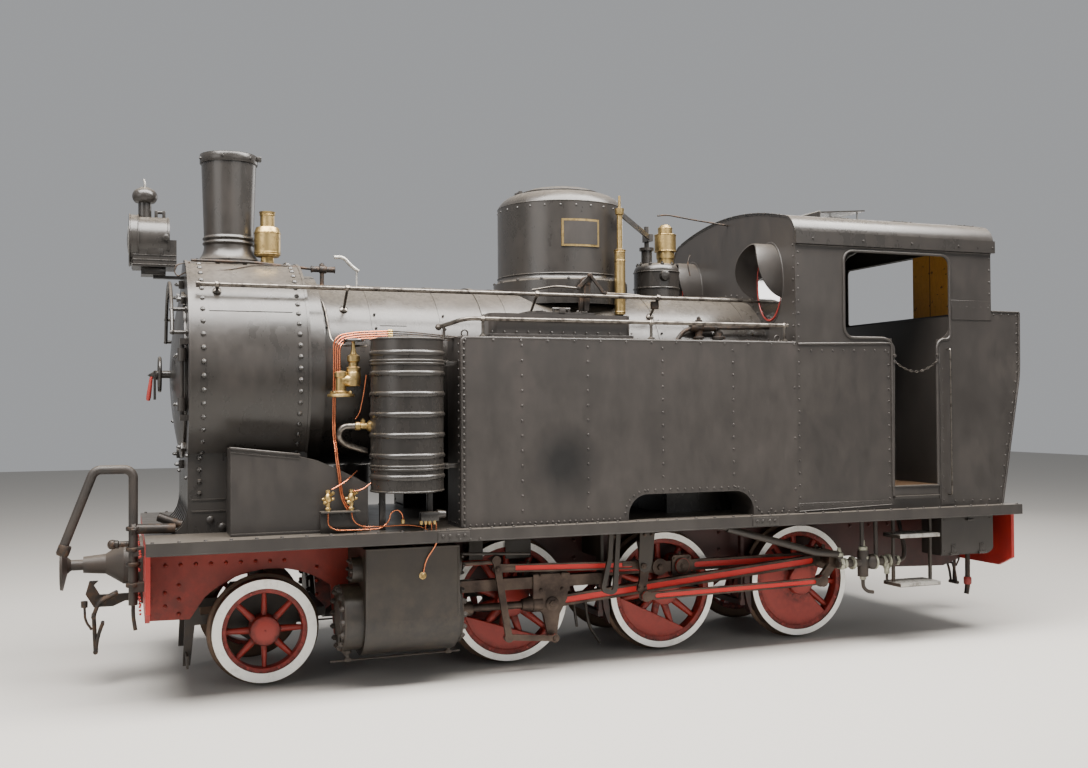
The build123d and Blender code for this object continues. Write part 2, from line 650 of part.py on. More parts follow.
# Tool boxes under the bunker, with flap doors hinged along the bottom
box_front, box_rear, box_foot, box_inner = 2760, 3300, 690, 780
flap_foot, flap_top = 702, 1018
with BuildPart() as tool_boxes:
    for side in (-1, 1):
        with BuildSketch(side_plane(side, box_inner)):
            with Locations(((box_front + box_rear) / 2, (box_foot + deck_top - deck_plate) / 2)):
                outline = Rectangle(box_rear - box_front, deck_top - deck_plate - box_foot)
            fillet(outline.vertices().sort_by(Axis.X)[-2:].sort_by(Axis.Y)[0], 62)
        extrude(amount=-side * 240)
        with BuildSketch(side_plane(side, box_inner + 10)):
            with Locations(((box_front + box_rear) / 2, (box_foot + deck_top - deck_plate) / 2)):
                outline = Rectangle(box_rear - box_front - 20, deck_top - deck_plate - box_foot - 20)
            fillet(outline.vertices().sort_by(Axis.X)[-2:].sort_by(Axis.Y)[0], 52)
        extrude(amount=-side * 230, mode=Mode.SUBTRACT)
finish(tool_boxes, "tool_boxes")

for side, name in ((-1, "tool_box_door_left"), (1, "tool_box_door_right")):
    with BuildPart() as flap:
        with BuildSketch(side_plane(side, box_inner + 243)):
            with Locations(((box_front + box_rear) / 2, (flap_foot + flap_top) / 2)):
                outline = Rectangle(box_rear - box_front, flap_top - flap_foot)
            fillet(outline.vertices().sort_by(Axis.X)[-2:].sort_by(Axis.Y)[0], 50)
        extrude(amount=-side * 8)
        for x in (box_front + 120, box_rear - 120):
            with Locations(Location((x, side * (box_inner + 259), flap_foot), (0, 90, 0))):
                Cylinder(10, 80)
    finish(flap, name)

# Cab steps: two boards on hangers, both sides
step_x = 2470
with BuildPart() as steps:
    for side in (-1, 1):
        for x in (step_x - 185, step_x + 185):
            with Locations((x, side * 1010, (470 + deck_top - deck_plate) / 2)):
                Box(22, 22, deck_top - deck_plate - 470)
        for z in (483, 878):
            with Locations((step_x, side * 1010, z)):
                Box(400, 220, 26)
finish(steps, "steps")

# Outside casings over the steam pipes, between smokebox and cylinders
with BuildPart() as steam_casings:
    for side in (-1, 1):
        with BuildSketch(side_plane(side, saddle_y)):
            with BuildLine():
                Line((-2985, deck_top), (-2985, 1690))
                Line((-2985, 1690), (-2520, 1690))
                slope = ThreePointArc((-2520, 1690), (-2270, 1620), (-2062, 1500))
                Line(slope @ 1, (-2062, deck_top))
                Line((-2062, deck_top), (-2985, deck_top))
            make_face()
        extrude(amount=-side * (950 - saddle_y))
    with BuildSketch(Plane.YZ.offset(smokebox_front)):
        with Locations((0, boiler_z)):
            Circle(smokebox_r)
    extrude(amount=2000, mode=Mode.SUBTRACT)
finish(steam_casings, "steam_casings")

# Ribbed air reservoir standing on the left deck, and the air pump on the right one
drum_x, drum_y, drum_r, drum_foot, drum_top = -1788, -968, 266, 1375, 2440
rib_z = (1480, 1625, 1767, 1910, 2052, 2195, 2335)
with BuildPart() as air_drum:
    with BuildSketch(Plane.XY.offset(drum_foot)):
        with Locations((drum_x, drum_y)):
            Circle(drum_r - 10)
    extrude(amount=drum_top - drum_foot)
    for z in rib_z:
        with BuildSketch(Plane.XY.offset(z - 16)):
            with Locations((drum_x, drum_y)):
                Circle(drum_r)
        extrude(amount=32)
    with BuildSketch(Plane.XY.offset(deck_top)):
        for x in (-170, 170):
            with Locations((drum_x + x, drum_y + 40)):
                Rectangle(40, 40)
    extrude(amount=drum_foot - deck_top)
finish(air_drum, "air_drum")

with BuildPart() as air_pump:
    pump_x, pump_y = -1788, 1074
    for z, low, radius in ((1560, 1300, 160), (1950, 1700, 136)):
        with BuildSketch(Plane.XY.offset(low)):
            with Locations((pump_x, pump_y)):
                Circle(radius)
        extrude(amount=2 * (z - low) - 140)
    with BuildSketch(Plane.XY.offset(deck_top)):
        with Locations((pump_x, pump_y)):
            Circle(60)
    extrude(amount=1120)
finish(air_pump, "air_pump")

# Cylinders with their valve chests, outside the frame under the deck
with BuildPart() as cylinders:
    for side in (-1, 1):
        with BuildSketch(Plane.YZ.offset(cylinder_front)):
            with Locations((side * cylinder_y, driver_z)):
                Circle(cylinder_r)
            with Locations((side * cylinder_y, (driver_z + 985) / 2)):
                Rectangle(2 * cylinder_r, 985 - driver_z)
            with Locations((side * (frame_outer + 60), 800)):
                Rectangle(120, 370)
        extrude(amount=cylinder_rear - cylinder_front)
        for x, length in ((cylinder_front - 130, 130), (cylinder_rear, 40)):
            with BuildSketch(Plane.YZ.offset(x)):
                with Locations((side * cylinder_y, driver_z)):
                    Circle(230)
            extrude(amount=length)
        with BuildSketch(Plane.YZ.offset(cylinder_front - 70)):
            with Locations((side * (cylinder_y + 90), 830)):
                Circle(90)
        extrude(amount=cylinder_rear - cylinder_front + 110)
finish(cylinders, "cylinders")

# Slide bars on the cylinders' rear covers, held at their far ends by the motion brackets
bar_z, bar_deep, bar_front, bar_rear = 652, 84, cylinder_rear + 40, -236
with BuildPart() as slide_bars:
    for side in (-1, 1):
        with Locations(((bar_front + bar_rear) / 2, side * cylinder_y, bar_z)):
            Box(bar_rear - bar_front, 90, bar_deep)
finish(slide_bars, "slide_bars")

link_x, link_z = 50, 745
with BuildPart() as motion_brackets:
    for side in (-1, 1):
        with Locations((bar_rear + 12, side * (frame_outer + 690) / 2, (800 + deck_top - deck_plate) / 2)):
            Box(24, 690 - frame_outer, deck_top - deck_plate - 800)
        with BuildSketch(Plane.YZ.offset(bar_rear)):
            with BuildLine():
                Polyline((side * 690, 600), (side * 850, 600), (side * 850, 705),
                         (side * 780, 760), (side * 780, deck_top - deck_plate),
                         (side * 690, deck_top - deck_plate), close=True)
            make_face()
        extrude(amount=24)
        with BuildSketch(side_plane(side, 920)):
            with BuildLine():
                Polyline((30, deck_top - deck_plate), (12, 780), (22, 715), (60, 695), (108, 712),
                         (126, 780), (156, deck_top - deck_plate), close=True)
            make_face()
        extrude(amount=-side * 18)
        with BuildSketch(side_plane(side, 948)) as strap:
            with BuildLine():
                FilletPolyline((-222, deck_top), (-240, 820), (-300, 585), (-200, 560),
                               (-165, deck_top), radius=34)
            trace(line_width=36)
            with Locations((-195, deck_top)):
                Rectangle(200, 2 * deck_plate, mode=Mode.SUBTRACT)
        extrude(strap.sketch, amount=-side * 14)
        pin(side, 906, 920, link_x, link_z, 26)
finish(motion_brackets, "motion_brackets")

# Crossheads: slipper round the bar, outer cheek, gudgeon pin, drop arm and piston rod
cheek_inner, cheek_outer = 785, 820
with BuildPart() as crossheads:
    for side in (-1, 1):
        x = crosshead_at(side)
        with BuildSketch(side_plane(side, 730)):
            with Locations((x - 10, bar_z)):
                Rectangle(280, bar_deep + 46)
                Rectangle(282, bar_deep, mode=Mode.SUBTRACT)
        extrude(amount=-side * 90)
        with BuildSketch(side_plane(side, 820)):
            with Locations((x - 10, bar_z - 8)):
                Rectangle(290, bar_deep + 52)
        extrude(amount=-side * 16)
        with BuildSketch(side_plane(side, cheek_inner)):
            with BuildLine():
                Polyline((x - 150, bar_z - bar_deep / 2), (x + 130, bar_z - bar_deep / 2),
                         (x + 120, 520), (x + 60, 410),
                         (x + 30, 220), (x - 30, 220), (x - 70, 410), (x - 150, 520), close=True)
            make_face()
        extrude(amount=-side * (cheek_outer - cheek_inner))
        with BuildSketch(Plane.YZ.offset(x - 150)):
            with Locations((side * cylinder_y, driver_z)):
                Circle(62)
            with Locations((side * cylinder_y, 545)):
                Rectangle(70, 130)
        extrude(amount=75)
        pin(side, main_rod_inner - 4, cheek_inner, x, driver_z, 38)
        with BuildSketch(Plane.YZ.offset(cylinder_rear + 40)):
            with Locations((side * cylinder_y, driver_z)):
                Circle(28)
        extrude(amount=x - 150 - cylinder_rear - 40)
finish(crossheads, "crossheads")

# Connecting rods, from the gudgeon pins back to the third axle's crank pins
with BuildPart() as connecting_rods:
    for side in (-1, 1):
        big_end = crank_pin("driver_3", side)
        small_end = (crosshead_at(side), driver_z)
        bar(side, main_rod_inner, main_rod_outer - main_rod_inner, small_end, big_end, 84, (62, 84), 46)
        pin(side, main_rod_inner, main_rod_outer, *small_end, 38 + running_fit, Mode.SUBTRACT)
        pin(side, main_rod_inner, main_rod_outer, *big_end, crank_pin_r + running_fit, Mode.SUBTRACT)
finish(connecting_rods, "connecting_rods")

# Return cranks on the outer ends of the main crank pins, with the eccentric rods
return_throw, return_lead, tail_z, eccentric_length = 50, 52, 512, 1578
with BuildPart() as eccentric_rods:
    for side in (-1, 1):
        main_pin = crank_pin("driver_3", side)
        angle = radians(crank_angle[side] + return_lead)
        return_pin = (driver_x["driver_3"] + return_throw * cos(angle),
                      driver_z + return_throw * sin(angle))
        tail = (return_pin[0] - sqrt(eccentric_length**2 - (return_pin[1] - tail_z) ** 2), tail_z)
        pin(side, main_rod_inner, 880, *main_pin, crank_pin_r)
        bar(side, 880, 34, main_pin, return_pin, 70, (62, 50))
        bar(side, 914, 30, return_pin, tail, 58, (46, 40), 32)
finish(eccentric_rods, "eccentric_rods")

# Valve gear: combination lever, union link, radius rod and slotted expansion link
lever_z, lever_x = 782, -1102
with BuildPart() as valve_gear:
    for side in (-1, 1):
        cross_x = crosshead_at(side)
        foot_x = cross_x - 368
        reach = sqrt(513**2 - min(abs(foot_x - lever_x), 400) ** 2)
        foot = (foot_x, lever_z - reach)
        head = (lever_x - (foot_x - lever_x) * 0.12, lever_z + 61)
        bar(side, 882, 24, head, foot, 50, (34, 34))
        bar(side, 858, 24, foot, (cross_x, 240), 44, (32, 32))
        pin(side, cheek_outer, 858, cross_x, 240, 22)
        bar(side, 858, 24, (lever_x, lever_z), (link_x, link_z), 60, (34, 40), 36)
        with BuildSketch(side_plane(side, 882)):
            with BuildLine():
                front_arc = ThreePointArc((link_x - 38, link_z - 190), (link_x - 8, link_z),
                                          (link_x - 38, link_z + 190))
                Line(front_arc @ 1, (link_x + 32, link_z + 190))
                rear_arc = ThreePointArc((link_x + 32, link_z + 190), (link_x + 62, link_z),
                                         (link_x + 32, link_z - 190))
                Line(rear_arc @ 1, front_arc @ 0)
            make_face()
        extrude(amount=-side * 24)
        bar(side, 882, 24, (link_x, link_z - 170), (link_x + 30, tail_z), 64, (36, 44))
        with BuildSketch(Plane.YZ.offset(cylinder_rear + 40)):
            with Locations((side * 865, 830)):
                Circle(20)
        extrude(amount=head[0] - cylinder_rear - 40)
finish(valve_gear, "valve_gear")


# Wheels: the red centres with axle, spokes, balance weights and crank pins, and their tyres
def wheel_tyres(x, z, tread, bore):
    """Both tyres of a wheelset, coned on the tread and flanged at the back."""
    for side in (-1, 1):
        with BuildSketch(across(x, z)) as section:
            with BuildLine():
                Polyline((side * wheel_back, bore), (side * tyre_face, bore),
                         (side * tyre_face, tread - 3), (side * (wheel_back + 34), tread + 1),
                         (side * (wheel_back + 24), tread + 24), (side * (wheel_back + 14), tread + 28),
                         (side * (wheel_back + 4), tread + 20), (side * wheel_back, tread + 6),
                         close=True)
            make_face()
        revolve(section.sketch, axis=Axis((x, 0, z), (0, 1, 0)))


def wheel_centre(side, x, z, rim, rim_width, hub, spokes, start):
    """One spoked centre: rim, tapered spokes and hub."""
    with BuildSketch(side_plane(side, wheel_back + 14)) as ring:
        with Locations((x, z)):
            Circle(rim)
            Circle(rim - rim_width, mode=Mode.SUBTRACT)
    extrude(ring.sketch, amount=-side * 104)
    with BuildSketch(side_plane(side, wheel_back + 34)) as star:
        with Locations((x, z)):
            with PolarLocations((rim - rim_width + hub) / 2, spokes, start):
                half = (rim - rim_width - hub) / 2 + 12
                Polygon((-half, -32), (half, -22), (half, 22), (-half, 32), align=None)
    extrude(star.sketch, amount=-side * 56)
    pin(side, wheel_back - 25, tyre_face + 10, x, z, hub)


tyre_bore = {"leading": 297, "driver": 410}
with BuildPart() as leading_tyres:
    wheel_tyres(leading_x, leading_z, leading_tread, tyre_bore["leading"])
finish(leading_tyres, "leading_tyres")

with BuildPart() as leading_wheels:
    for side in (-1, 1):
        wheel_centre(side, leading_x, leading_z, tyre_bore["leading"], 34, 92, 8, 22.5)
    pin(-1, -tyre_face, tyre_face, leading_x, leading_z, 65)
finish(leading_wheels, "leading_wheels")

for axle, x in driver_x.items():
    with BuildPart() as tyres:
        wheel_tyres(x, driver_z, driver_tread, tyre_bore["driver"])
    finish(tyres, f"{axle}_tyres")
    with BuildPart() as wheels:
        for side in (-1, 1):
            angle = crank_angle[side]
            wheel_centre(side, x, driver_z, tyre_bore["driver"], 40, 118, 11, angle)
            pin_x, pin_z = crank_pin(axle, side)
            with BuildSketch(side_plane(side, wheel_back + 28)):
                with Locations((x, driver_z)):
                    Circle(378)
                with Locations((x + 262 * cos(radians(angle)), driver_z + 262 * sin(radians(angle)))):
                    Circle(420, mode=Mode.SUBTRACT)
            extrude(amount=-side * 88)
            bar(side, wheel_back + 40, hub_face - wheel_back - 40, (x, driver_z), (pin_x, pin_z),
                150, (118, 82))
            pin(side, hub_face, pin_end, pin_x, pin_z, crank_pin_r)
            pin(side, rod_outer + 5, pin_end, pin_x, pin_z, 62)
        pin(-1, -hub_face, hub_face, x, driver_z, axle_r)
    finish(wheels, f"{axle}_wheels")

# Coupling rods: one body a side, with fluted bars, bushes and the knuckle ahead of axle two
for side, name in ((-1, "coupling_rod_left"), (1, "coupling_rod_right")):
    pins = [crank_pin(axle, side) for axle in driver_x]
    knuckle = (pins[1][0] - 190, pins[1][1])
    with BuildPart() as coupling_rod:
        bar(side, rod_inner + 12, rod_outer - rod_inner - 24, pins[0], pins[2], 84, (50, 50))
        for x, z in pins:
            pin(side, rod_inner, rod_outer, x, z, 78)
        with BuildSketch(side_plane(side, rod_inner)):
            with Locations(pins[1]):
                RectangleRounded(170, 170, 24)
            with Locations(knuckle):
                Circle(66)
        extrude(amount=-side * (rod_outer - rod_inner))
        for start, end in ((pins[0][0] + 110, knuckle[0] - 90), (pins[1][0] + 120, pins[2][0] - 110)):
            with BuildSketch(side_plane(side, rod_outer - 24)):
                with Locations(((start + end) / 2, pins[0][1])):
                    SlotOverall(end - start, 44)
            extrude(amount=-side * 24, mode=Mode.SUBTRACT)
        for x, z in pins:
            pin(side, rod_inner, rod_outer, x, z, crank_pin_r + running_fit, Mode.SUBTRACT)
    finish(coupling_rod, name)

# Leading truck: side plates with axleboxes, cross tube, swing arm and guard irons
with BuildPart() as leading_truck:
    for side in (-1, 1):
        with BuildSketch(side_plane(side, 285)):
            with BuildLine():
                Polyline((-2960, 500), (-2880, 620), (-2560, 620), (-2380, 500), (-2260, 500),
                         (-2260, 440), (-2480, 400), (-2620, 300), (-2810, 300), (-2960, 400),
                         close=True)
            make_face()
            with Locations((leading_x, leading_z)):
                Circle(65 + running_fit, mode=Mode.SUBTRACT)
        extrude(amount=-side * 60)
        with BuildSketch(side_plane(side, 345)):
            with BuildLine():
                Polyline((-3170, 620), (-3140, 500), (-2960, 500), (-2960, 440), (-3180, 430),
                         (-3210, 150), (-3260, 150), (-3240, 620), close=True)
            make_face()
        extrude(amount=-side * 20)
        with Locations((-3235, side * 430, 200)):
            Box(16, 150, 90)
    with Locations((-2900, 0, 470)):
        Box(60, 570, 60)
    with Locations((-2290, 0, 470)):
        Box(60, 570, 60)
    with Locations((leading_x, 0, 510)):
        Box(80, 570, 60)
    with Locations((leading_x, 0, 700)):
        Cylinder(50, 320)
finish(leading_truck, "leading_truck")

# Brake gear: shoes ahead of the second and third axles on hangers, with cross beams
brake_gap = 12
with BuildPart() as brake_gear:
    for axle in ("driver_2", "driver_3"):
        x = driver_x[axle]
        for side in (-1, 1):
            with BuildSketch(side_plane(side, 475)):
                with Locations((x, driver_z)):
                    Circle(driver_tread + brake_gap + 50)
                    Circle(driver_tread + brake_gap, mode=Mode.SUBTRACT)
                with Locations((x + 50, driver_z)):
                    Rectangle(1020, 1100, mode=Mode.SUBTRACT)
            extrude(amount=-side * 80)
            with Locations((x - 530, side * 515, (310 + deck_top - deck_plate) / 2)):
                Box(30, 44, deck_top - deck_plate - 310)
        with Locations((x - 530, 0, 330)):
            Box(44, 1074, 44)
finish(brake_gear, "brake_gear")

# Head lamp on a bracket from the smokebox top: drum, lower case with foot, and vent
lamp_x, lamp_z, vent_x = -3450, 3190, -3508
with BuildPart() as head_lamp:
    with BuildSketch(Plane.YZ.offset(lamp_x - 165)):
        with Locations((0, lamp_z)):
            Circle(185)
            Circle(155, mode=Mode.SUBTRACT)
    extrude(amount=60)
    with BuildSketch(Plane.YZ.offset(lamp_x - 105)):
        with Locations((0, lamp_z)):
            Circle(172)
    extrude(amount=215)
    with BuildSketch(Plane.XZ):
        with BuildLine():
            neck = Polyline((vent_x, lamp_z + 100), (vent_x + 46, lamp_z + 100), (vent_x + 46, 3462),
                            (vent_x + 66, 3468))
            cap = ThreePointArc(neck @ 1, (vent_x + 88, 3510), (vent_x + 66, 3560))
            Polyline(cap @ 1, (vent_x + 30, 3580), (vent_x, 3584), neck @ 0)
        make_face()
    revolve(axis=Axis((vent_x, 0, 0), (0, 0, 1)))
    for x, z, length, width, height in ((-3443, 3084, 300, 300, 196), (lamp_x, 2961, 168, 200, 52),
                                        ((lamp_x + smokebox_front) / 2, 2925, smokebox_front - lamp_x, 60, 20)):
        with Locations((x, 0, z)):
            Box(length, width, height)
finish(head_lamp, "head_lamp")

# Handrails: along the boiler on stalks, on the tanks, and behind the doorways
rail_r, boiler_rail = 16, (673, 2816)
tank_rail_y, tank_rail_z, rail_end = 1020, 2592, -1462
with BuildPart() as handrails:
    for side in (-1, 1):
        with BuildSketch(Plane.YZ.offset(-3180)):
            with Locations((side * boiler_rail[0], boiler_rail[1])):
                Circle(rail_r)
        extrude(amount=cab_front_face - cab_plate + 3180)
        for x, surface in ((-3047, smokebox_r), (-2149, barrel_r), (-703, barrel_r), (322, barrel_r)):
            out = Plane(origin=(x, 0, boiler_z), x_dir=(1, 0, 0),
                        z_dir=(0, side * boiler_rail[0], boiler_rail[1] - boiler_z))
            with BuildSketch(out.offset(surface)):
                Circle(11)
            extrude(amount=hypot(boiler_rail[0], boiler_rail[1] - boiler_z) - surface)
        with BuildLine() as tank_rail:
            FilletPolyline((cab_front_face - cab_plate, side * tank_rail_y, tank_rail_z),
                           (rail_end, side * tank_rail_y, tank_rail_z),
                           (rail_end, side * (tank_rail_y - 35), 2420),
                           (tank_front, side * (tank_rail_y - 35), 2420), radius=24)
        with BuildSketch(Plane(origin=tank_rail.wires()[0] @ 0, z_dir=(-1, 0, 0))):
            Circle(rail_r)
        sweep(path=tank_rail.wires()[0])
        for x in (89, 1259):
            with Locations((x, side * tank_rail_y, (tank_top + tank_rail_z) / 2)):
                Cylinder(11, tank_rail_z - tank_top)
        with Locations((2790, side * 1100, 1700)):
            Cylinder(rail_r, 1040)
        for z in (1200, 2200):
            with Locations((2790, side * (wall_y + 25), z)):
                Box(20, 50, 24)
finish(handrails, "handrails")

# Grab rail arched over the smokebox door, on two stalks and with its ends turned back
arch_r, arch_end, arch_stand = 670, 24, 101
with BuildPart() as front_grab_rail:
    with BuildSketch(Plane(origin=(0, 0, boiler_z), x_dir=(1, 0, 0),
                           z_dir=(0, -sin(radians(arch_end)), cos(radians(arch_end))))):
        with Locations((smokebox_front - arch_stand, arch_r)):
            Circle(13)
    revolve(axis=Axis((0, 0, boiler_z), (1, 0, 0)), revolution_arc=180 - 2 * arch_end)
    for angle in (arch_end, 41, 180 - 41, 180 - arch_end):
        with BuildSketch(Plane.YZ.offset(smokebox_front - arch_stand)):
            with Locations((arch_r * cos(radians(angle)), boiler_z + arch_r * sin(radians(angle)))):
                Circle(13)
        extrude(amount=arch_stand)
finish(front_grab_rail, "front_grab_rail")

# Front standpipe with its bent hose pipe, and the injector below the cab on both sides
injector_y = 962
with BuildPart() as pipework:
    with BuildLine() as stand:
        FilletPolyline((-3590, -600, 640), (-3590, -600, 1554), (-3835, -600, 1554),
                       (-4020, -600, 1060), radius=60)
    with BuildSketch(Plane(origin=(-3590, -600, 640), z_dir=(0, 0, 1))):
        Circle(30)
    sweep(path=stand.wires()[0])
    with Locations((-3555, -600, 1000), (-3555, -600, 760)):
        Box(70, 80, 60)
    for side in (-1, 1):
        with Locations(Location((2060, side * injector_y, 670), (0, 90, 0))):
            Cylinder(34, 570)
        with Locations((2105, side * injector_y, 670)):
            Sphere(62)
        with Locations((2021, side * injector_y, 662)):
            Cylinder(44, 212)
        for x in (2014, 2150):
            with Locations((x, side * injector_y, (690 + deck_top - deck_plate) / 2)):
                Cylinder(17, deck_top - deck_plate - 690)
        with BuildLine() as supply:
            FilletPolyline((760, side * injector_y, 1000), (1265, side * injector_y, 861),
                           (1561, side * injector_y, 775), (1800, side * injector_y, 745),
                           (1800, side * injector_y, 670), radius=[240, 240, 40])
        with BuildSketch(Plane(origin=supply.wires()[0] @ 0, z_dir=supply.wires()[0] % 0)):
            Circle(28)
        sweep(path=supply.wires()[0])
finish(pipework, "pipework")
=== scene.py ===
from functools import partial
from math import acos, atan2, cos, degrees, pi, radians, sin, sqrt

import bmesh
import bpy
from mathutils import Matrix, Vector


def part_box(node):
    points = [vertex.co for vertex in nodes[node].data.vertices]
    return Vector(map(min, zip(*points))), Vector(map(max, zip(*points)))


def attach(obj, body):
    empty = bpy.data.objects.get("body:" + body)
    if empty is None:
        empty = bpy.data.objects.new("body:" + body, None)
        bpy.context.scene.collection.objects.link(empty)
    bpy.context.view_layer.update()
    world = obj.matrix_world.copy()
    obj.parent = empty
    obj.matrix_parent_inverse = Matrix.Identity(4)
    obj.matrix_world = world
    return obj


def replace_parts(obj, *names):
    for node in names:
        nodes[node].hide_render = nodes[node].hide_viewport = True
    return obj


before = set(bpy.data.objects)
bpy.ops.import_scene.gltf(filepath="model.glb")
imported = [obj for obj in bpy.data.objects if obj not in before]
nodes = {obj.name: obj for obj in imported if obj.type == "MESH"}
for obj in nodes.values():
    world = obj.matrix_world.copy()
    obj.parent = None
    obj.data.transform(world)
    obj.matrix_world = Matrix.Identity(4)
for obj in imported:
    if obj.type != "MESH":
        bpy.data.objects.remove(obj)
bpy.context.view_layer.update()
root = "locomotive"
print("frame loaded:", len(nodes), "nodes")


def linear(hexColour):
    # sRGB hex to the linear values the shaders want
    values = [int(hexColour[i:i + 2], 16) / 255 for i in (1, 3, 5)]
    return tuple(v / 12.92 if v < 0.04045 else ((v + 0.055) / 1.055) ** 2.4 for v in values) + (1.0,)


def feed(node, inputs):
    # an input takes a value, a socket, or another node's first output
    for socket, value in inputs.items():
        if isinstance(value, bpy.types.Node):
            value = value.outputs[0]
        if isinstance(value, bpy.types.NodeSocket):
            node.id_data.links.new(value, node.inputs[socket])
        else:
            node.inputs[socket].default_value = value
    return node


def addNode(tree, kind, inputs, **settings):
    made = tree.nodes.new("ShaderNode" + kind)
    for name, value in settings.items():
        setattr(made, name, value)
    return feed(made, inputs)


def newMaterial(name, **values):
    material = bpy.data.materials.new(name)
    material.use_nodes = True
    tree = material.node_tree
    shader = tree.nodes["Principled BSDF"]
    feed(shader, {socket.replace("_", " "): value for socket, value in values.items()})
    add = partial(addNode, tree)
    return material, add, shader, add("TexCoord", {}).outputs["Object"]


def perMm(size):
    # texture scale for a pattern whose features are this many millimetres apart
    return 1000 / size


def paint(name, colour, patch, dustAndTopLight, gloss, waviness=0.3, dustAndTopLightAmount=0.4, grimeAndShade=None, stain=None, deckShadow=None):
    # brushed enamel on steel plate: even colour, faint patches, soft vertical runs, dust on ledges that also serves
    # as painted light, lightening every up-facing surface
    material, add, shader, spot = newMaterial(name, IOR=1.5)
    patches = add("TexNoise", {"Vector": spot, "Scale": perMm(700), "Detail": 5.0, "Roughness": 0.6})
    tall = add("Mapping", {"Vector": spot, "Scale": (1.0, 1.0, 0.5)})
    runs = add("TexNoise", {"Vector": tall, "Scale": perMm(110), "Detail": 4.0, "Roughness": 0.65})
    both = add("Math", {0: patches, 1: runs}, operation="MULTIPLY")
    stained = add("MapRange", {"Value": both, "From Min": 0.16, "From Max": 0.42})
    base = add("Mix", {"Factor": stained, 6: linear(colour), 7: linear(patch)}, data_type="RGBA").outputs[2]
    if grimeAndShade:
        # grimeAndShade = (colour, height in metres below which it gathers): a mottled colour that takes over
        # towards the bottom; road dirt on the black under the deck, painted shade on the cylinders
        height = add("SeparateXYZ", {0: spot}).outputs["Z"]
        low = add("MapRange", {"Value": height, "From Min": grimeAndShade[1] - 0.55, "From Max": grimeAndShade[1], "To Min": 0.8,
            "To Max": 0.0})
        splash = add("TexNoise", {"Vector": spot, "Scale": perMm(90), "Detail": 7.0, "Roughness": 0.7})
        patchy = add("MapRange", {"Value": splash, "From Min": 0.38, "From Max": 0.62})
        amount = add("Math", {0: low, 1: patchy}, operation="MULTIPLY")
        base = add("Mix", {"Factor": amount, 6: base, 7: linear(grimeAndShade[0])}, data_type="RGBA").outputs[2]
    if stain:
        # stain = (centre in metres, reach, colour): a rubbed, oily place on the plate
        away = add("VectorMath", {0: spot, 1: stain[0]}, operation="DISTANCE")
        rubbed = add("MapRange", {"Value": away.outputs["Value"], "From Min": stain[1], "From Max": 0.0,
            "To Max": 2.6})
        amount = add("Math", {0: rubbed, 1: patches}, operation="MULTIPLY", use_clamp=True)
        base = add("Mix", {"Factor": amount, 6: base, 7: linear(stain[2])}, data_type="RGBA").outputs[2]
    if deckShadow:
        # deckShadow = (x, x) in metres: painted shade of the deck over the frames; from the first x to the second
        # the enamel darkens towards near-black, and it stays dark aft of the second
        along = add("SeparateXYZ", {0: spot}).outputs["X"]
        deckShade = add("MapRange", {"Value": along, "From Min": deckShadow[0], "From Max": deckShadow[1], "To Min": 0.0,
            "To Max": 0.85})
        base = add("Mix", {"Factor": deckShade, 6: base, 7: linear("#120d0b")}, data_type="RGBA").outputs[2]
    # dust on up-facing surfaces, partly painted light: the tops are lightened the way the overhead lamp lights them
    facing = add("NewGeometry", {}).outputs["Normal"]
    up = add("SeparateXYZ", {0: facing}).outputs["Z"]
    ledge = add("MapRange", {"Value": up, "From Min": 0.45, "To Max": dustAndTopLightAmount})
    specks = add("TexNoise", {"Vector": spot, "Scale": perMm(25), "Detail": 6.0})
    dustAndLightMask = add("Math", {0: ledge, 1: specks}, operation="MULTIPLY")
    dustedAndLit = add("Mix", {"Factor": dustAndLightMask, 6: base, 7: linear(dustAndTopLight)}, data_type="RGBA")
    feed(shader, {"Base Color": dustedAndLit.outputs[2]})
    feed(shader, {"Roughness": add("MapRange", {"Value": both, "From Min": 0.15, "From Max": 0.45, "To Min": gloss,
        "To Max": gloss + 0.16})})
    wave = add("TexNoise", {"Vector": spot, "Scale": perMm(240), "Detail": 3.0})
    brush = add("TexNoise", {"Vector": spot, "Scale": perMm(9), "Detail": 4.0})
    relief = add("Math", {0: brush, 1: 0.03, 2: wave}, operation="MULTIPLY_ADD")
    feed(shader, {"Normal": add("Bump", {"Height": relief, "Strength": waviness, "Distance": 0.004})})
    return material


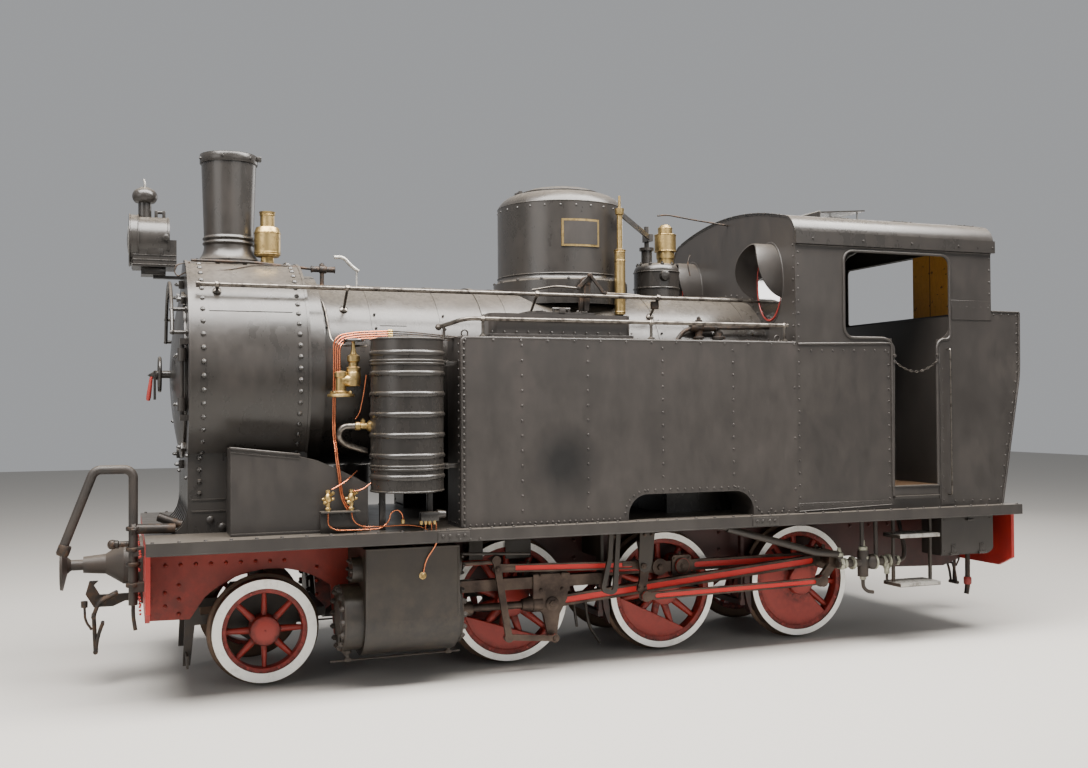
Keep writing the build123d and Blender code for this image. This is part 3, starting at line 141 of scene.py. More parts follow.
def wheelEnamel(name, axleX, axleZ, rimRadius):
    # red enamel on a cast wheel centre, darkened by grease and brake dust and by painted shade: darker round the
    # hub, at the spokes' roots, at the inside of the rim and on the faces set deeper into the wheel
    material, add, shader, spot = newMaterial(name, IOR=1.5)
    moved = add("Mapping", {"Vector": spot, "Location": (-axleX, 0, -axleZ)})
    flat = add("VectorMath", {0: moved, 1: (1, 0, 1)}, operation="MULTIPLY")
    radius = add("VectorMath", {0: flat}, operation="LENGTH").outputs["Value"]
    share = add("Math", {0: radius, 1: rimRadius}, operation="DIVIDE").outputs[0]
    # darkness by radius: grease round the hub, with painted shade at the spokes' roots and the rim's inside
    ramp = add("ValToRGB", {0: share})
    stops = ramp.color_ramp
    stops.elements[0].position, stops.elements[0].color = 0.20, (0, 0, 0, 1)
    stops.elements[1].position, stops.elements[1].color = 1.0, (0.75, 0.75, 0.75, 1)
    for place, grey in ((0.33, 0.75), (0.50, 0.25), (0.80, 0.1), (0.92, 0.5)):
        stops.elements.new(place).color = (grey, grey, grey, 1)
    splash = add("TexNoise", {"Vector": spot, "Scale": perMm(45), "Detail": 7.0, "Roughness": 0.68})
    mottled = add("MapRange", {"Value": splash, "From Min": 0.35, "From Max": 0.65, "To Min": 0.25, "To Max": 1.3})
    # painted shade: faces set deeper into the wheel go darker
    depth = add("SeparateXYZ", {0: spot}).outputs["Y"]
    inward = add("Math", {0: depth}, operation="ABSOLUTE")
    deep = add("MapRange", {"Value": inward, "From Min": 0.45, "From Max": 0.545, "To Min": 0.85, "To Max": 0.0})
    worst = add("Math", {0: ramp, 1: deep}, operation="MAXIMUM")
    amount = add("Math", {0: worst, 1: mottled}, operation="MULTIPLY", use_clamp=True)
    mixed = add("Mix", {"Factor": amount, 6: linear("#8c2216"), 7: linear("#1c0f0b")}, data_type="RGBA")
    feed(shader, {"Base Color": mixed.outputs[2]})
    feed(shader, {"Roughness": add("MapRange", {"Value": amount, "To Min": 0.42, "To Max": 0.7})})
    casting = add("TexNoise", {"Vector": spot, "Scale": perMm(14), "Detail": 5.0})
    feed(shader, {"Normal": add("Bump", {"Height": casting, "Strength": 0.25, "Distance": 0.002})})
    return material


def rodSteel(name, fluteFace=None):
    # forged rod steel under a film of old oil: brown-grey, brighter where it is wiped;
    # fluteFace is the |y| of the flutes' floors, which are filled in with red enamel
    material, add, shader, spot = newMaterial(name)
    film = add("TexNoise", {"Vector": spot, "Scale": perMm(160), "Detail": 6.0, "Roughness": 0.62})
    wiped = add("MapRange", {"Value": film, "From Min": 0.36, "From Max": 0.66})
    base = add("Mix", {"Factor": wiped, 6: linear("#2a201b"), 7: linear("#54473e")}, data_type="RGBA").outputs[2]
    metal, rough = 0.6, 0.42
    if fluteFace:
        depth = add("SeparateXYZ", {0: spot}).outputs["Y"]
        out = add("Math", {0: depth}, operation="ABSOLUTE")
        floor = add("Math", {0: out, 1: fluteFace, 2: 0.0015}, operation="COMPARE").outputs[0]
        base = add("Mix", {"Factor": floor, 6: base, 7: linear("#b81c16")}, data_type="RGBA").outputs[2]
        metal = add("MapRange", {"Value": floor, "To Min": metal, "To Max": 0.0})
    feed(shader, {"Metallic": metal, "Base Color": base})
    scratches = add("TexNoise", {"Vector": spot, "Scale": perMm(7), "Detail": 5.0})
    feed(shader, {"Roughness": add("MapRange", {"Value": scratches, "From Min": 0.3, "From Max": 0.7,
        "To Min": rough - 0.08, "To Max": rough + 0.12})})
    feed(shader, {"Normal": add("Bump", {"Height": film, "Strength": 0.12, "Distance": 0.002})})
    return material


def tarnished(name, bright, dull, low, high, patina=0.5, metallic=1.0):
    # bare metal that has gone dull in patches, with the fine marks of its polishing or casting
    material, add, shader, spot = newMaterial(name, Metallic=metallic)
    cloud = add("TexNoise", {"Vector": spot, "Scale": perMm(55), "Detail": 6.0, "Roughness": 0.65})
    mask = add("MapRange", {"Value": cloud, "From Min": 0.62 - patina * 0.3, "From Max": 0.72 - patina * 0.2})
    base = add("Mix", {"Factor": mask, 6: linear(bright), 7: linear(dull)}, data_type="RGBA")
    feed(shader, {"Base Color": base.outputs[2]})
    feed(shader, {"Roughness": add("MapRange", {"Value": mask, "To Min": low, "To Max": high})})
    grain = add("TexNoise", {"Vector": spot, "Scale": perMm(5), "Detail": 4.0})
    feed(shader, {"Normal": add("Bump", {"Height": grain, "Strength": 0.05, "Distance": 0.001})})
    return material


def boards(name, pale, dark, across, width):
    # painted or oiled softwood boards: grain along each board, a dark joint every board width
    material, add, shader, spot = newMaterial(name, IOR=1.5)
    axes = add("SeparateXYZ", {0: spot})
    count = add("Math", {0: axes.outputs[across], 1: perMm(width)}, operation="MULTIPLY")
    part = add("Math", {0: count}, operation="FRACT")
    joint = add("Math", {0: part, 1: 0.03}, operation="LESS_THAN")
    stretched = add("Mapping", {"Vector": spot, "Scale": (0.2, 1.0, 0.2)})
    grain = add("TexNoise", {"Vector": stretched, "Scale": perMm(12), "Detail": 7.0, "Roughness": 0.7})
    knots = add("TexNoise", {"Vector": spot, "Scale": perMm(55), "Detail": 3.0})
    spots = add("MapRange", {"Value": knots, "From Min": 0.66, "From Max": 0.72})
    tone = add("MapRange", {"Value": grain, "From Min": 0.3, "From Max": 0.8, "To Max": 0.7})
    base = add("Mix", {"Factor": tone, 6: linear(pale), 7: linear(dark)}, data_type="RGBA")
    worst = add("Math", {0: joint, 1: spots}, operation="MAXIMUM")
    marked = add("Mix", {"Factor": worst, 6: base.outputs[2], 7: linear("#2b1d0e")}, data_type="RGBA")
    feed(shader, {"Base Color": marked.outputs[2], "Roughness": 0.6})
    feed(shader, {"Normal": add("Bump", {"Height": grain, "Strength": 0.3, "Distance": 0.002})})
    return material


def whiteWall(name):
    # white enamel on the tyres' outer faces, smeared with grease, and rolled steel on the treads
    material, add, shader, spot = newMaterial(name, IOR=1.5, Roughness=0.5)
    across = add("Math", {0: add("SeparateXYZ", {0: spot}).outputs["Y"]}, operation="ABSOLUTE")
    face = add("Math", {0: across, 1: 0.5695}, operation="GREATER_THAN")
    dirt = add("TexNoise", {"Vector": spot, "Scale": perMm(60), "Detail": 8.0, "Roughness": 0.7})
    smear = add("MapRange", {"Value": dirt, "From Min": 0.52, "From Max": 0.75, "To Max": 0.45})
    enamel = add("Mix", {"Factor": smear, 6: linear("#fbfaf5"), 7: linear("#a79f90")}, data_type="RGBA")
    rust = add("Mix", {"Factor": dirt, 6: linear("#4c4039"), 7: linear("#6e5a4a")}, data_type="RGBA")
    both = add("Mix", {"Factor": face, 6: rust.outputs[2], 7: enamel.outputs[2]}, data_type="RGBA")
    metal = add("MapRange", {"Value": face, "To Min": 0.7, "To Max": 0.0})
    feed(shader, {"Base Color": both.outputs[2], "Metallic": metal})
    return material


def dustyGlass(name):
    # float glass with a little dust in its film
    material, add, shader, spot = newMaterial(name, IOR=1.5, Transmission_Weight=1.0)
    film = add("TexNoise", {"Vector": spot, "Scale": perMm(80), "Detail": 6.0})
    feed(shader, {"Roughness": add("MapRange", {"Value": film, "To Max": 0.12})})
    return material


# black stoving enamel on the boiler cladding and smokebox: glossy enough to mirror the daylight
boilerEnamel = paint("boiler_enamel", "#252321", "#2f2b28", "#8a8174", 0.24, 0.3, 0.5)
# the same black brushed on the flat plates, flatter and marked by hands and water
plateEnamel = paint("plate_enamel", "#282523", "#312d2a", "#857c70", 0.34, 0.25, 0.4)
tankEnamel = paint("tank_enamel", "#2a2725", "#342f2c", "#857c70", 0.36, 0.3, 0.4,
    stain=((-0.63, -1.05, 1.55), 0.32, "#050404"))
# black over the wheels and under the deck, brown with road dust and old oil
lowEnamel = paint("under_enamel", "#1d1a18", "#2f2721", "#6f6355", 0.5, 0.3, 0.6, grimeAndShade=("#33291f", 1.1))
# cylinders and motion brackets: painted shade, near-black towards the bottom below one metre
cylinderEnamel = paint("cylinder_enamel", "#241e18", "#322a20", "#7d705c", 0.42, 0.3, 0.5, grimeAndShade=("#0a0807", 1.0))
# red lead enamel on the frames and the buffer beams; the frames carry painted shade of the deck from x −1.9 m
# rearwards
frameRed = paint("frame_red", "#84200f", "#6c1a0e", "#6f4438", 0.45, 0.3, 0.4, grimeAndShade=("#1a0d0a", 0.95),
    deckShadow=(-1.9, -1.2))
beamRed = paint("beam_red", "#93201a", "#7e1c16", "#7c4a40", 0.4, 0.3, 0.3)
trimRed = paint("handle_red", "#8e2a24", "#7a2620", "#8a4a40", 0.4, 0.2, 0.2)
oiledRod = rodSteel("oiled_rod_steel")
mainRod = rodSteel("main_rod_steel", 0.767)
eccentricRod = rodSteel("eccentric_rod_steel", 0.936)
radiusRod = rodSteel("radius_rod_steel", 0.874)
couplingRod = rodSteel("coupling_rod_steel", 0.651)
# turned brass, dulled to a pale tan by years of handling
agedBrass = tarnished("aged_brass", "#b39a68", "#7d6a45", 0.36, 0.55)
# drawn copper pipe, wiped bright here and there
drawnCopper = tarnished("drawn_copper", "#cf7f5a", "#a5603f", 0.22, 0.34, patina=0.2)
# bare mild steel handrails and rods, dark with handling
railSteel = tarnished("rail_steel", "#6a655f", "#3f3a36", 0.28, 0.42, metallic=0.9)
# aluminium paint on the injector castings, greenish with age
injectorGrey = tarnished("aluminium_paint", "#9c9c8c", "#77766a", 0.45, 0.6, metallic=0.35)
# black iron of hooks, chains and springs
blackIron = tarnished("black_iron", "#2f2b28", "#4a3a2e", 0.5, 0.68, metallic=0.6)
# galvanised tread plate, worn pale by boots
treadPlate = tarnished("tread_plate", "#a9a7a2", "#7d7a74", 0.42, 0.6, metallic=0.7)
ochreBoards = boards("ochre_boards", "#e0a040", "#b07628", "Y", 320)
deckTimber = boards("deck_timber", "#6b5138", "#3d2c1c", "Y", 150)
tyreWhite = whiteWall("white_walled_tyre")
windowGlass = dustyGlass("window_glass")

print("materials made")

# each axle's x and z, and its tyre's radius, in metres
axles = {"leading": (-2.717, 0.393, 0.297), "driver_1": (-0.891, 0.488, 0.41), "driver_2": (0.395, 0.488, 0.41),
    "driver_3": (1.673, 0.488, 0.41)}

finishes = {
    boilerEnamel: ("boiler", "smokebox", "smokebox_door", "chimney", "dome", "dome_lid", "head_lamp",
        "safety_valve_base", "steam_casings", "air_drum", "front_grab_rail", "cab_roof"),
    plateEnamel: ("cab_front", "cab_side_left", "cab_side_right", "cab_rear", "window_hoods", "bunker",
        "running_boards", "filler_lid_left", "filler_lid_right", "tool_boxes", "tool_box_door_left",
        "tool_box_door_right", "air_pump"),
    tankEnamel: ("tank_left", "tank_right"),
    lowEnamel: ("ash_pan", "axleboxes_and_springs", "steps", "pipework", "buffers", "leading_truck"),
    cylinderEnamel: ("cylinders", "motion_brackets"),
    frameRed: ("main_frame", "brake_gear"), beamRed: ("buffer_beams",),
    oiledRod: ("crossheads", "slide_bars"), mainRod: ("connecting_rods",),
    eccentricRod: ("eccentric_rods",), radiusRod: ("valve_gear",),
    couplingRod: ("coupling_rod_left", "coupling_rod_right"), railSteel: ("handrails",),
    agedBrass: ("brass_valves", "backhead_fittings"), blackIron: ("draw_hooks",),
    ochreBoards: ("rear_shutter",), deckTimber: ("cab_floor",),
    tyreWhite: tuple(axle + "_tyres" for axle in axles), windowGlass: ("cab_glass",),
}
for axle, (axleX, axleZ, rim) in axles.items():
    finishes[wheelEnamel(axle + "_wheel_red", axleX, axleZ, rim)] = (axle + "_wheels",)
for material, named in finishes.items():
    for name in named:
        nodes[name].data.materials.clear()
        nodes[name].data.materials.append(material)
print("finishes given to", sum(len(named) for named in finishes.values()), "nodes")

# height of the boiler's axis, and the ways that turned parts point along the locomotive
boilerZ = 2212
fore, aft = (-1, 0, 0), (1, 0, 0)


def mm(*values):
    return Vector(values) / 1000


def settle(name, made, material, body):
    # a finished mesh or curve becomes a piece that rides on a body
    made.materials.append(material)
    piece = bpy.data.objects.new(name, made)
    bpy.context.collection.objects.link(piece)
    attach(piece, body)
    return piece


def keep(name, shape, material, body=root, soft=True):
    mesh = bpy.data.meshes.new(name)
    for face in shape.faces:
        face.smooth = soft
    shape.to_mesh(mesh)
    shape.free()
    if soft:
        mesh.set_sharp_from_angle(angle=radians(38))
    return settle(name, mesh, material, body)


def addTo(shape, part, place=(0, 0, 0), axis=(0, 0, 1)):
    # clean a part, turn its z axis to the given axis, put it in place and join it to the shape
    bmesh.ops.remove_doubles(part, verts=part.verts, dist=1e-6)
    bmesh.ops.recalc_face_normals(part, faces=part.faces)
    turn = Matrix()
    if tuple(axis) != (0, 0, 1):
        turn = Vector(axis).to_track_quat("Z", "Y").to_matrix().to_4x4()
    bmesh.ops.transform(part, matrix=Matrix.Translation(mm(*place)) @ turn, verts=part.verts)
    mesh = bpy.data.meshes.new("part")
    part.to_mesh(mesh)
    part.free()
    shape.from_mesh(mesh)
    bpy.data.meshes.remove(mesh)


def soften(part, edge, segments):
    if edge:
        bmesh.ops.bevel(part, geom=part.edges[:], offset=edge / 1000, offset_type="OFFSET", affect="EDGES",
            segments=segments, profile=0.5, material=-1)


def revolve(part, geometry, steps):
    bmesh.ops.spin(part, geom=geometry, cent=(0, 0, 0), axis=(0, 0, 1), angle=2 * pi, steps=steps, use_merge=True)


def block(shape, place, size, edge=2, axis=(0, 0, 1)):
    part = bmesh.new()
    bmesh.ops.create_cube(part, size=1, matrix=Matrix.Diagonal((*mm(*size), 1)))
    soften(part, edge, 2)
    addTo(shape, part, place, axis)


def turned(shape, profile, place, axis=(0, 0, 1), steps=24):
    # profile: (radius, height) pairs in mm; open ends are closed on the axis, and a profile that comes
    # back to its first pair is a ring
    if profile[0] != profile[-1]:
        closing = [[(0, height)] if radius else [] for radius, height in (profile[0], profile[-1])]
        profile = closing[0] + profile + closing[1]
    part = bmesh.new()
    made = [part.verts.new(mm(radius, 0, height)) for radius, height in profile]
    edges = [part.edges.new(pair) for pair in zip(made, made[1:])]
    revolve(part, made + edges, steps)
    addTo(shape, part, place, axis)


def torus(radius, across, segments, steps):
    part = bmesh.new()
    upright = Matrix.Translation(mm(radius, 0, 0)) @ Matrix.Rotation(pi / 2, 4, "X")
    bmesh.ops.create_circle(part, segments=segments, radius=across / 2000, matrix=upright)
    revolve(part, part.verts[:] + part.edges[:], steps)
    return part


def hoop(shape, place, radius, across, axis=(0, 0, 1), steps=64):
    addTo(shape, torus(radius, across, 10, steps), place, axis)


def slab(shape, corners, depth, edge=0):
    # a plate: its outline in mm, pushed out by depth
    part = bmesh.new()
    face = part.faces.new([part.verts.new(mm(*corner)) for corner in corners])
    pushed = bmesh.ops.extrude_face_region(part, geom=[face])["geom"]
    bmesh.ops.translate(part, vec=mm(*depth), verts=[v for v in pushed if isinstance(v, bmesh.types.BMVert)])
    soften(part, edge, 1)
    addTo(shape, part)


def plate(shape, outline, y, depth, edge=0):
    # an upright slab along the locomotive: its outline in x and z
    slab(shape, [(x, y, z) for x, z in outline], (0, depth, 0), edge)


def box(x0, z0, x1, z1):
    return (x0, z0), (x1, z0), (x1, z1), (x0, z1)


def wrap(shape, along, radius, thick, angles):
    # a strip bent round the boiler's axis, between two angles measured from the top
    part = bmesh.new()
    corners = [(along[0], radius), (along[1], radius), (along[1], radius + thick), (along[0], radius + thick)]
    face = part.faces.new([part.verts.new(mm(x, 0, z)) for x, z in corners])
    bmesh.ops.rotate(part, cent=(0, 0, 0), matrix=Matrix.Rotation(radians(angles[0]), 3, "X"), verts=part.verts)
    sweep = radians(angles[1] - angles[0])
    bmesh.ops.spin(part, geom=part.verts[:] + part.edges[:] + [face], cent=(0, 0, 0), axis=(1, 0, 0), angle=sweep,
        steps=max(4, round(abs(sweep) * 12)))
    addTo(shape, part, (0, 0, boilerZ))


def pipes(name, runs, material, body=root, corner=40):
    # runs: (outside diameter, corner points) in mm; each corner is rounded by two knots
    curve = bpy.data.curves.new(name, "CURVE")
    curve.dimensions = "3D"
    curve.bevel_depth = 0.001
    curve.bevel_resolution = 3
    curve.resolution_u = 6
    curve.use_fill_caps = True
    for across, points in runs:
        places = [mm(*point) for point in points]
        first = places[0].lerp(places[1], 0.1)
        knots = [(places[0], first, first)]
        for before, place, after in zip(places, places[1:], places[2:]):
            cut = min(corner / 1000, 0.45 * (before - place).length, 0.45 * (after - place).length)
            start = place + (before - place).normalized() * cut
            end = place + (after - place).normalized() * cut
            knots.append((start, start + (start - place) * 0.2, start.lerp(place, 0.55)))
            knots.append((end, end.lerp(place, 0.55), end + (end - place) * 0.2))
        last = places[-1].lerp(places[-2], 0.1)
        knots.append((places[-1], last, last))
        spline = curve.splines.new("BEZIER")
        spline.bezier_points.add(len(knots) - 1)
        for point, (place, back, ahead) in zip(spline.bezier_points, knots):
            point.handle_left_type = point.handle_right_type = "FREE"
            point.co, point.handle_left, point.handle_right = place, back, ahead
            point.radius = across / 2
    return settle(name, curve, material, body)


def row(start, end, pitch):
    start, end = Vector(start), Vector(end)
    count = max(1, round((end - start).length / pitch))
    return [tuple(start.lerp(end, i / count)) for i in range(count + 1)]


def ring(x, radius, pitch, angles=(0, 360)):
    count = max(1, round(radians(angles[1] - angles[0]) * radius / pitch))
    whole = angles[1] - angles[0] == 360
    turns = [radians(angles[0] + (angles[1] - angles[0]) * i / count) for i in range(count + (0 if whole else 1))]
    return [(x, -radius * sin(turn), boilerZ + radius * cos(turn)) for turn in turns]


def circle(count, first=0):
    # directions spaced evenly round a circle, as (cosine, sine) from the first angle on
    turns = [radians(first + 360 / count * number) for number in range(count)]
    return [(cos(turn), sin(turn)) for turn in turns]


def sheetRows(y, rows):
    # rivet rows on an upright plate, each (x, z, x, z, pitch)
    return [place for xa, za, xb, zb, pitch in rows for place in row((xa, y, za), (xb, y, zb), pitch)]


def mirrored(places):
    return places + [(x, -y, z) for x, y, z in places]


def rivets(name, places, across, material=plateEnamel, body=root):
    heads = bmesh.new()
    for place in places:
        bmesh.ops.create_uvsphere(heads, u_segments=8, v_segments=4, radius=across / 2000,
            matrix=Matrix.Translation(mm(*place)))
    return keep(name, heads, material, body)


def nut(shape, place, across, tall, axis=(0, 0, 1)):
    # hexagon nut with the end of its stud
    turned(shape, [(across * 0.577, 0), (across * 0.577, tall * 0.85), (across * 0.5, tall)], place, axis, 6)
    turned(shape, [(across * 0.28, 0), (across * 0.28, tall * 1.3), (0, tall * 1.35)], place, axis, 10)


# boiler and smokebox: rivet rings, lap seams, band clips, patch plate
smokeboxTrim = {"rings": ((-3147, 95), (-2504, 80)), "head": 38, "seam": 56}
places = [place for x, pitch in smokeboxTrim["rings"] for place in ring(x, 834, pitch, (-138, 138))]
places += mirrored(row((-3163, -622, 1377), (-3163, -622, 1702), 81))
rivets("smokebox_rivets", places, smokeboxTrim["head"], boilerEnamel)
seams = bmesh.new()
for side in (-1, 1):
    wrap(seams, (-3105, -2545), 835, 6, (side * smokeboxTrim["seam"], side * (smokeboxTrim["seam"] + 4)))
    for z in (1334, 1253):
        block(seams, (-3101, side * 622, z), (226, 8, 12), 2)
for front, rear, radius, thick, angles in ((-3240, -3222, 834, 8, (-150, 150)), (-2448, -2430, 834, 8, (-150, 150)),
        (-1930, -1700, 691, 6, (38, 60)), (-1100, -1060, 691, 10, (-100, 100))):
    wrap(seams, (front, rear), radius, thick, angles)
# the front plate flares out to the deck in a hollow foot
foot = ((-3238, 1310), (-3243, 1250), (-3256, 1196), (-3280, 1152), (-3310, 1124), (-3345, 1107), (-3238, 1107))
plate(seams, foot, -610, 1220)
for y in range(-560, 561, 160):
    plate(seams, [(x - 5, z + 3) for x, z in foot], y, 12)
keep("boiler_seams", seams, boilerEnamel)

clips = bmesh.new()
for x in (-2320, -1960, -1440, -900, 350, 1180):
    for side in (-1, 1):
        for turn in (52, 62):
            angle = radians(turn)
            place = (x + 30, side * 700 * sin(angle), boilerZ + 700 * cos(angle))
            nut(clips, place, 16, 12, (0, side * sin(angle), cos(angle)))
keep("band_bolts", clips, boilerEnamel)

# chimney: rim lugs, skirt bolts, polished beads
chimneyTrim = {"x": -2914, "rimBolts": 6, "skirtBolts": 8, "beads": ((3845, 206, 8), (3222, 183, 16),
    (3186, 183, 16))}
middle = chimneyTrim["x"]
trim = bmesh.new()
for c, s in circle(chimneyTrim["rimBolts"], 12):
    nut(trim, (middle + 208 * c, 208 * s, 3816), 20, 10, (c, s, 0))
for c, s in circle(chimneyTrim["skirtBolts"], 22):
    y = 252 * s
    z = boilerZ + sqrt(836 ** 2 - y ** 2)
    nut(trim, (middle + 252 * c, y, z - 2), 28, 18, (0, y, z - boilerZ))
turned(trim, [(196, 0), (207, 0), (210, 4), (210, 62), (207, 66), (196, 66), (196, 0)], (middle, 0, 3783), steps=64)
for z, radius, across in chimneyTrim["beads"]:
    hoop(trim, (middle, 0, z), radius, across)
block(trim, (middle + 214, -60, 3830), (34, 40, 36), 4)
block(trim, (middle - 10, -60, 3842), (44, 30, 14), 4)
keep("chimney_trim", trim, boilerEnamel)
print("boiler, smokebox and chimney trimmed")

# head lamp: rims, latch, hinge lugs, finial hook, louvred foot
lampTrim = {"z": 3190, "rims": ((-3612, 186, 14), (-3556, 186, 10), (-3350, 173, 12))}
trim = bmesh.new()
for x, radius, across in lampTrim["rims"]:
    hoop(trim, (x, 0, lampTrim["z"]), radius, across, aft, 48)
turned(trim, [(146, 0), (120, 18), (60, 30), (0, 34)], (-3598, 0, lampTrim["z"]), fore, 40)
turned(trim, [(24, 0), (24, 12), (12, 16), (12, 26), (0, 28)], (-3366, -172, 3196), (0, -1, 0), 20)
for x in (-3430, -3376):
    block(trim, (x, 0, 3382), (22, 60, 60), 4)
turned(trim, [(12, 0), (12, 74)], (-3440, 0, 3402), aft, 16)
for step in range(3):
    block(trim, (-3443, 0, 3000 + 34 * step), (312 - 8 * step, 308, 8), 3)
for side in (-1, 1):
    block(trim, (-3440, side * 152, 3115), (110, 8, 86), 3)
    block(trim, (-3440, side * 104, 2962), (140, 10, 40), 3)
keep("lamp_trim", trim, boilerEnamel)
pipes("lamp_finial", [(16, [(-3508, 0, 3580), (-3508, 0, 3612), (-3516, 0, 3640)])], treadPlate, corner=10)
lampGlass = bmesh.new()
turned(lampGlass, [(152, 0), (150, 4), (90, 20), (0, 26)], (-3604, 0, lampTrim["z"]), fore, 40)
keep("lamp_reflector", lampGlass, treadPlate)

# smokebox door: strap nuts, dogs round its edge, catch handle
doorTrim = {"dogs": 10, "circle": 660}
trim = bmesh.new()
for z in (1990, 2330):
    for y in (-600, -500, -360, -240):
        nut(trim, (-3300, y, z), 24, 16, fore)
hoop(trim, (-3256, 0, boilerZ), 604, 12, aft, 72)
turned(trim, [(34, 0), (36, 20), (24, 34), (0, 70)], (-3420, 0, 2206), fore, 20)
keep("door_trim", trim, boilerEnamel, "smokebox_door")
grips = bmesh.new()
turned(grips, [(0, 0), (11, 4), (14, 60), (17, 150), (13, 176), (0, 180)], (-3462, -12, 2196), (-0.13, -0.05, -1),
    14)
keep("door_handle_grip", grips, trimRed, "smokebox_door")

dogs = bmesh.new()
for number in range(doorTrim["dogs"]):
    angle = radians(200 + 320 / doorTrim["dogs"] * number)
    y, z = doorTrim["circle"] * cos(angle), boilerZ + doorTrim["circle"] * sin(angle)
    if abs(y + 650) < 120:
        continue
    block(dogs, (-3258, y, z), (36, 34, 60), 4, (0, cos(angle), sin(angle)))
    nut(dogs, (-3276, y, z), 26, 22, fore)
for y, z in ((-700, 1640), (-560, 1480), (560, 1480), (700, 1640)):
    nut(dogs, (-3241, y * 0.9, z), 24, 14, fore)
keep("door_dogs", dogs, boilerEnamel)

# grab rail ends and stalk collars
trim = bmesh.new()
for angle in (24, 41, 139, 156):
    y, z = 670 * cos(radians(angle)), boilerZ + 670 * sin(radians(angle))
    turned(trim, [(24, 0), (24, 8), (16, 12)], (-3242, y, z), fore, 16)
    turned(trim, [(0, -18), (12, -15), (18, 0), (12, 15), (0, 18)], (-3341, y, z), aft, 14)
keep("grab_rail_collars", trim, boilerEnamel)

# handrails: drawn tube on stalks along the boiler and on the tanks, which ends low ahead of the tank
railY, railZ = 673, 2816
stalks = ((-3047, 836), (-2149, 692), (-703, 692), (322, 692))
railRuns = []
for side in (-1, 1):
    railRuns += [(32, [(-3180, side * railY, railZ), (1157, side * railY, railZ)]),
        (44, [(1150, side * railY, railZ), (1180, side * railY, railZ)]), (32, [(1290, side * 1020, 2592),
        (-1370, side * 1020, 2592), (-1518, side * 840, 2540)])]
    for x, surface in stalks:
        railRuns.append((22, [(x, side * surface * 0.744, boilerZ + surface * 0.668), (x, side * railY, railZ)]))
    for x, y, foot, top in ((-1492, 872, 2460, 2550), (-1245, 1020, 2463, 2592), (89, 1020, 2463, 2592),
            (1259, 1020, 2463, 2592)):
        railRuns.append((22, [(x, side * y, foot), (x, side * y, top)]))
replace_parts(pipes("handrail_tubes", railRuns, railSteel, corner=60), "handrails")

# handrail knobs at each stalk, and the collar on the boiler
knobs = bmesh.new()
for side in (-1, 1):
    for x, surface in stalks:
        y, z = side * railY, railZ
        out = Vector((0, y, z - boilerZ)).normalized()
        foot = out * (surface + 2)
        turned(knobs, [(0, -26), (16, -22), (25, 0), (16, 22), (0, 26)], (x, y, z), (0, out[1], out[2]), 16)
        turned(knobs, [(30, 0), (30, 10), (14, 22)], (x, foot[1], boilerZ + foot[2]), (0, out[1], out[2]), 16)
    turned(knobs, [(0, -26), (18, -18), (26, 0), (18, 18), (0, 26)], (-1522, side * 836, 2539), steps=16)
    block(knobs, (-1456, side * 868, 2458), (112, 60, 8), 2)
    for x in (-1245, 89, 1259):
        turned(knobs, [(0, -22), (15, -18), (23, 0), (15, 18), (0, 22)], (x, side * 1020, 2592), steps=16)
        turned(knobs, [(28, 0), (28, 10), (14, 20)], (x, side * 1020, 2463), steps=16)
    turned(knobs, [(0, -16), (22, -12), (24, 0), (22, 12), (0, 16)], (-3176, side * railY, railZ), aft, 16)
keep("rail_knobs", knobs, railSteel)

# the blower rod's bell crank on the handrail, with the rod and cock over the boiler
pipes("blower_lever", [(26, [(-2244, -672, 3036), (-2180, -672, 3040), (-2120, -672, 2975), (-2070, -672, 2940)]),
    (13, [(-2084, -673, 2938), (-2084, -673, 2822)])], treadPlate, corner=60)
cock = bmesh.new()
turned(cock, [(24, 0), (27, 6), (22, 14), (22, 60), (30, 66), (30, 110), (22, 118), (22, 170), (28, 178), (0, 182)],
    (-2344, -250, 2996), aft, 20)
turned(cock, [(26, 0), (26, 12), (16, 20), (16, 130)], (-2262, -250, 2862), steps=16)
nut(cock, (-2262, -250, 3016), 34, 22)
keep("blower_cock", cock, blackIron)
pipes("top_rods", [(22, [(-3200, -250, 3030), (-2760, -250, 3030), (-2600, -250, 3016), (-2340, -250, 2998)]),
    (9, [(-3205, -260, 3012), (-3300, -262, 2992), (-3316, -264, 2940), (-3290, -270, 2905), (-3225, -330, 2942),
    (-2990, -420, 2940), (-2740, -290, 3010), (-2560, -250, 3010)])], blackIron, corner=90)

# small pipe that leaves the smokebox top and bends down to the air drum
pipes("drum_pipe", [(16, [(-2470, -170, 2990), (-2400, -240, 2900), (-2330, -400, 2810), (-2290, -520, 2710),
    (-2284, -655, 2540), (-2278, -740, 2430), (-2210, -800, 2398), (-2050, -880, 2392)])], railSteel, corner=80)

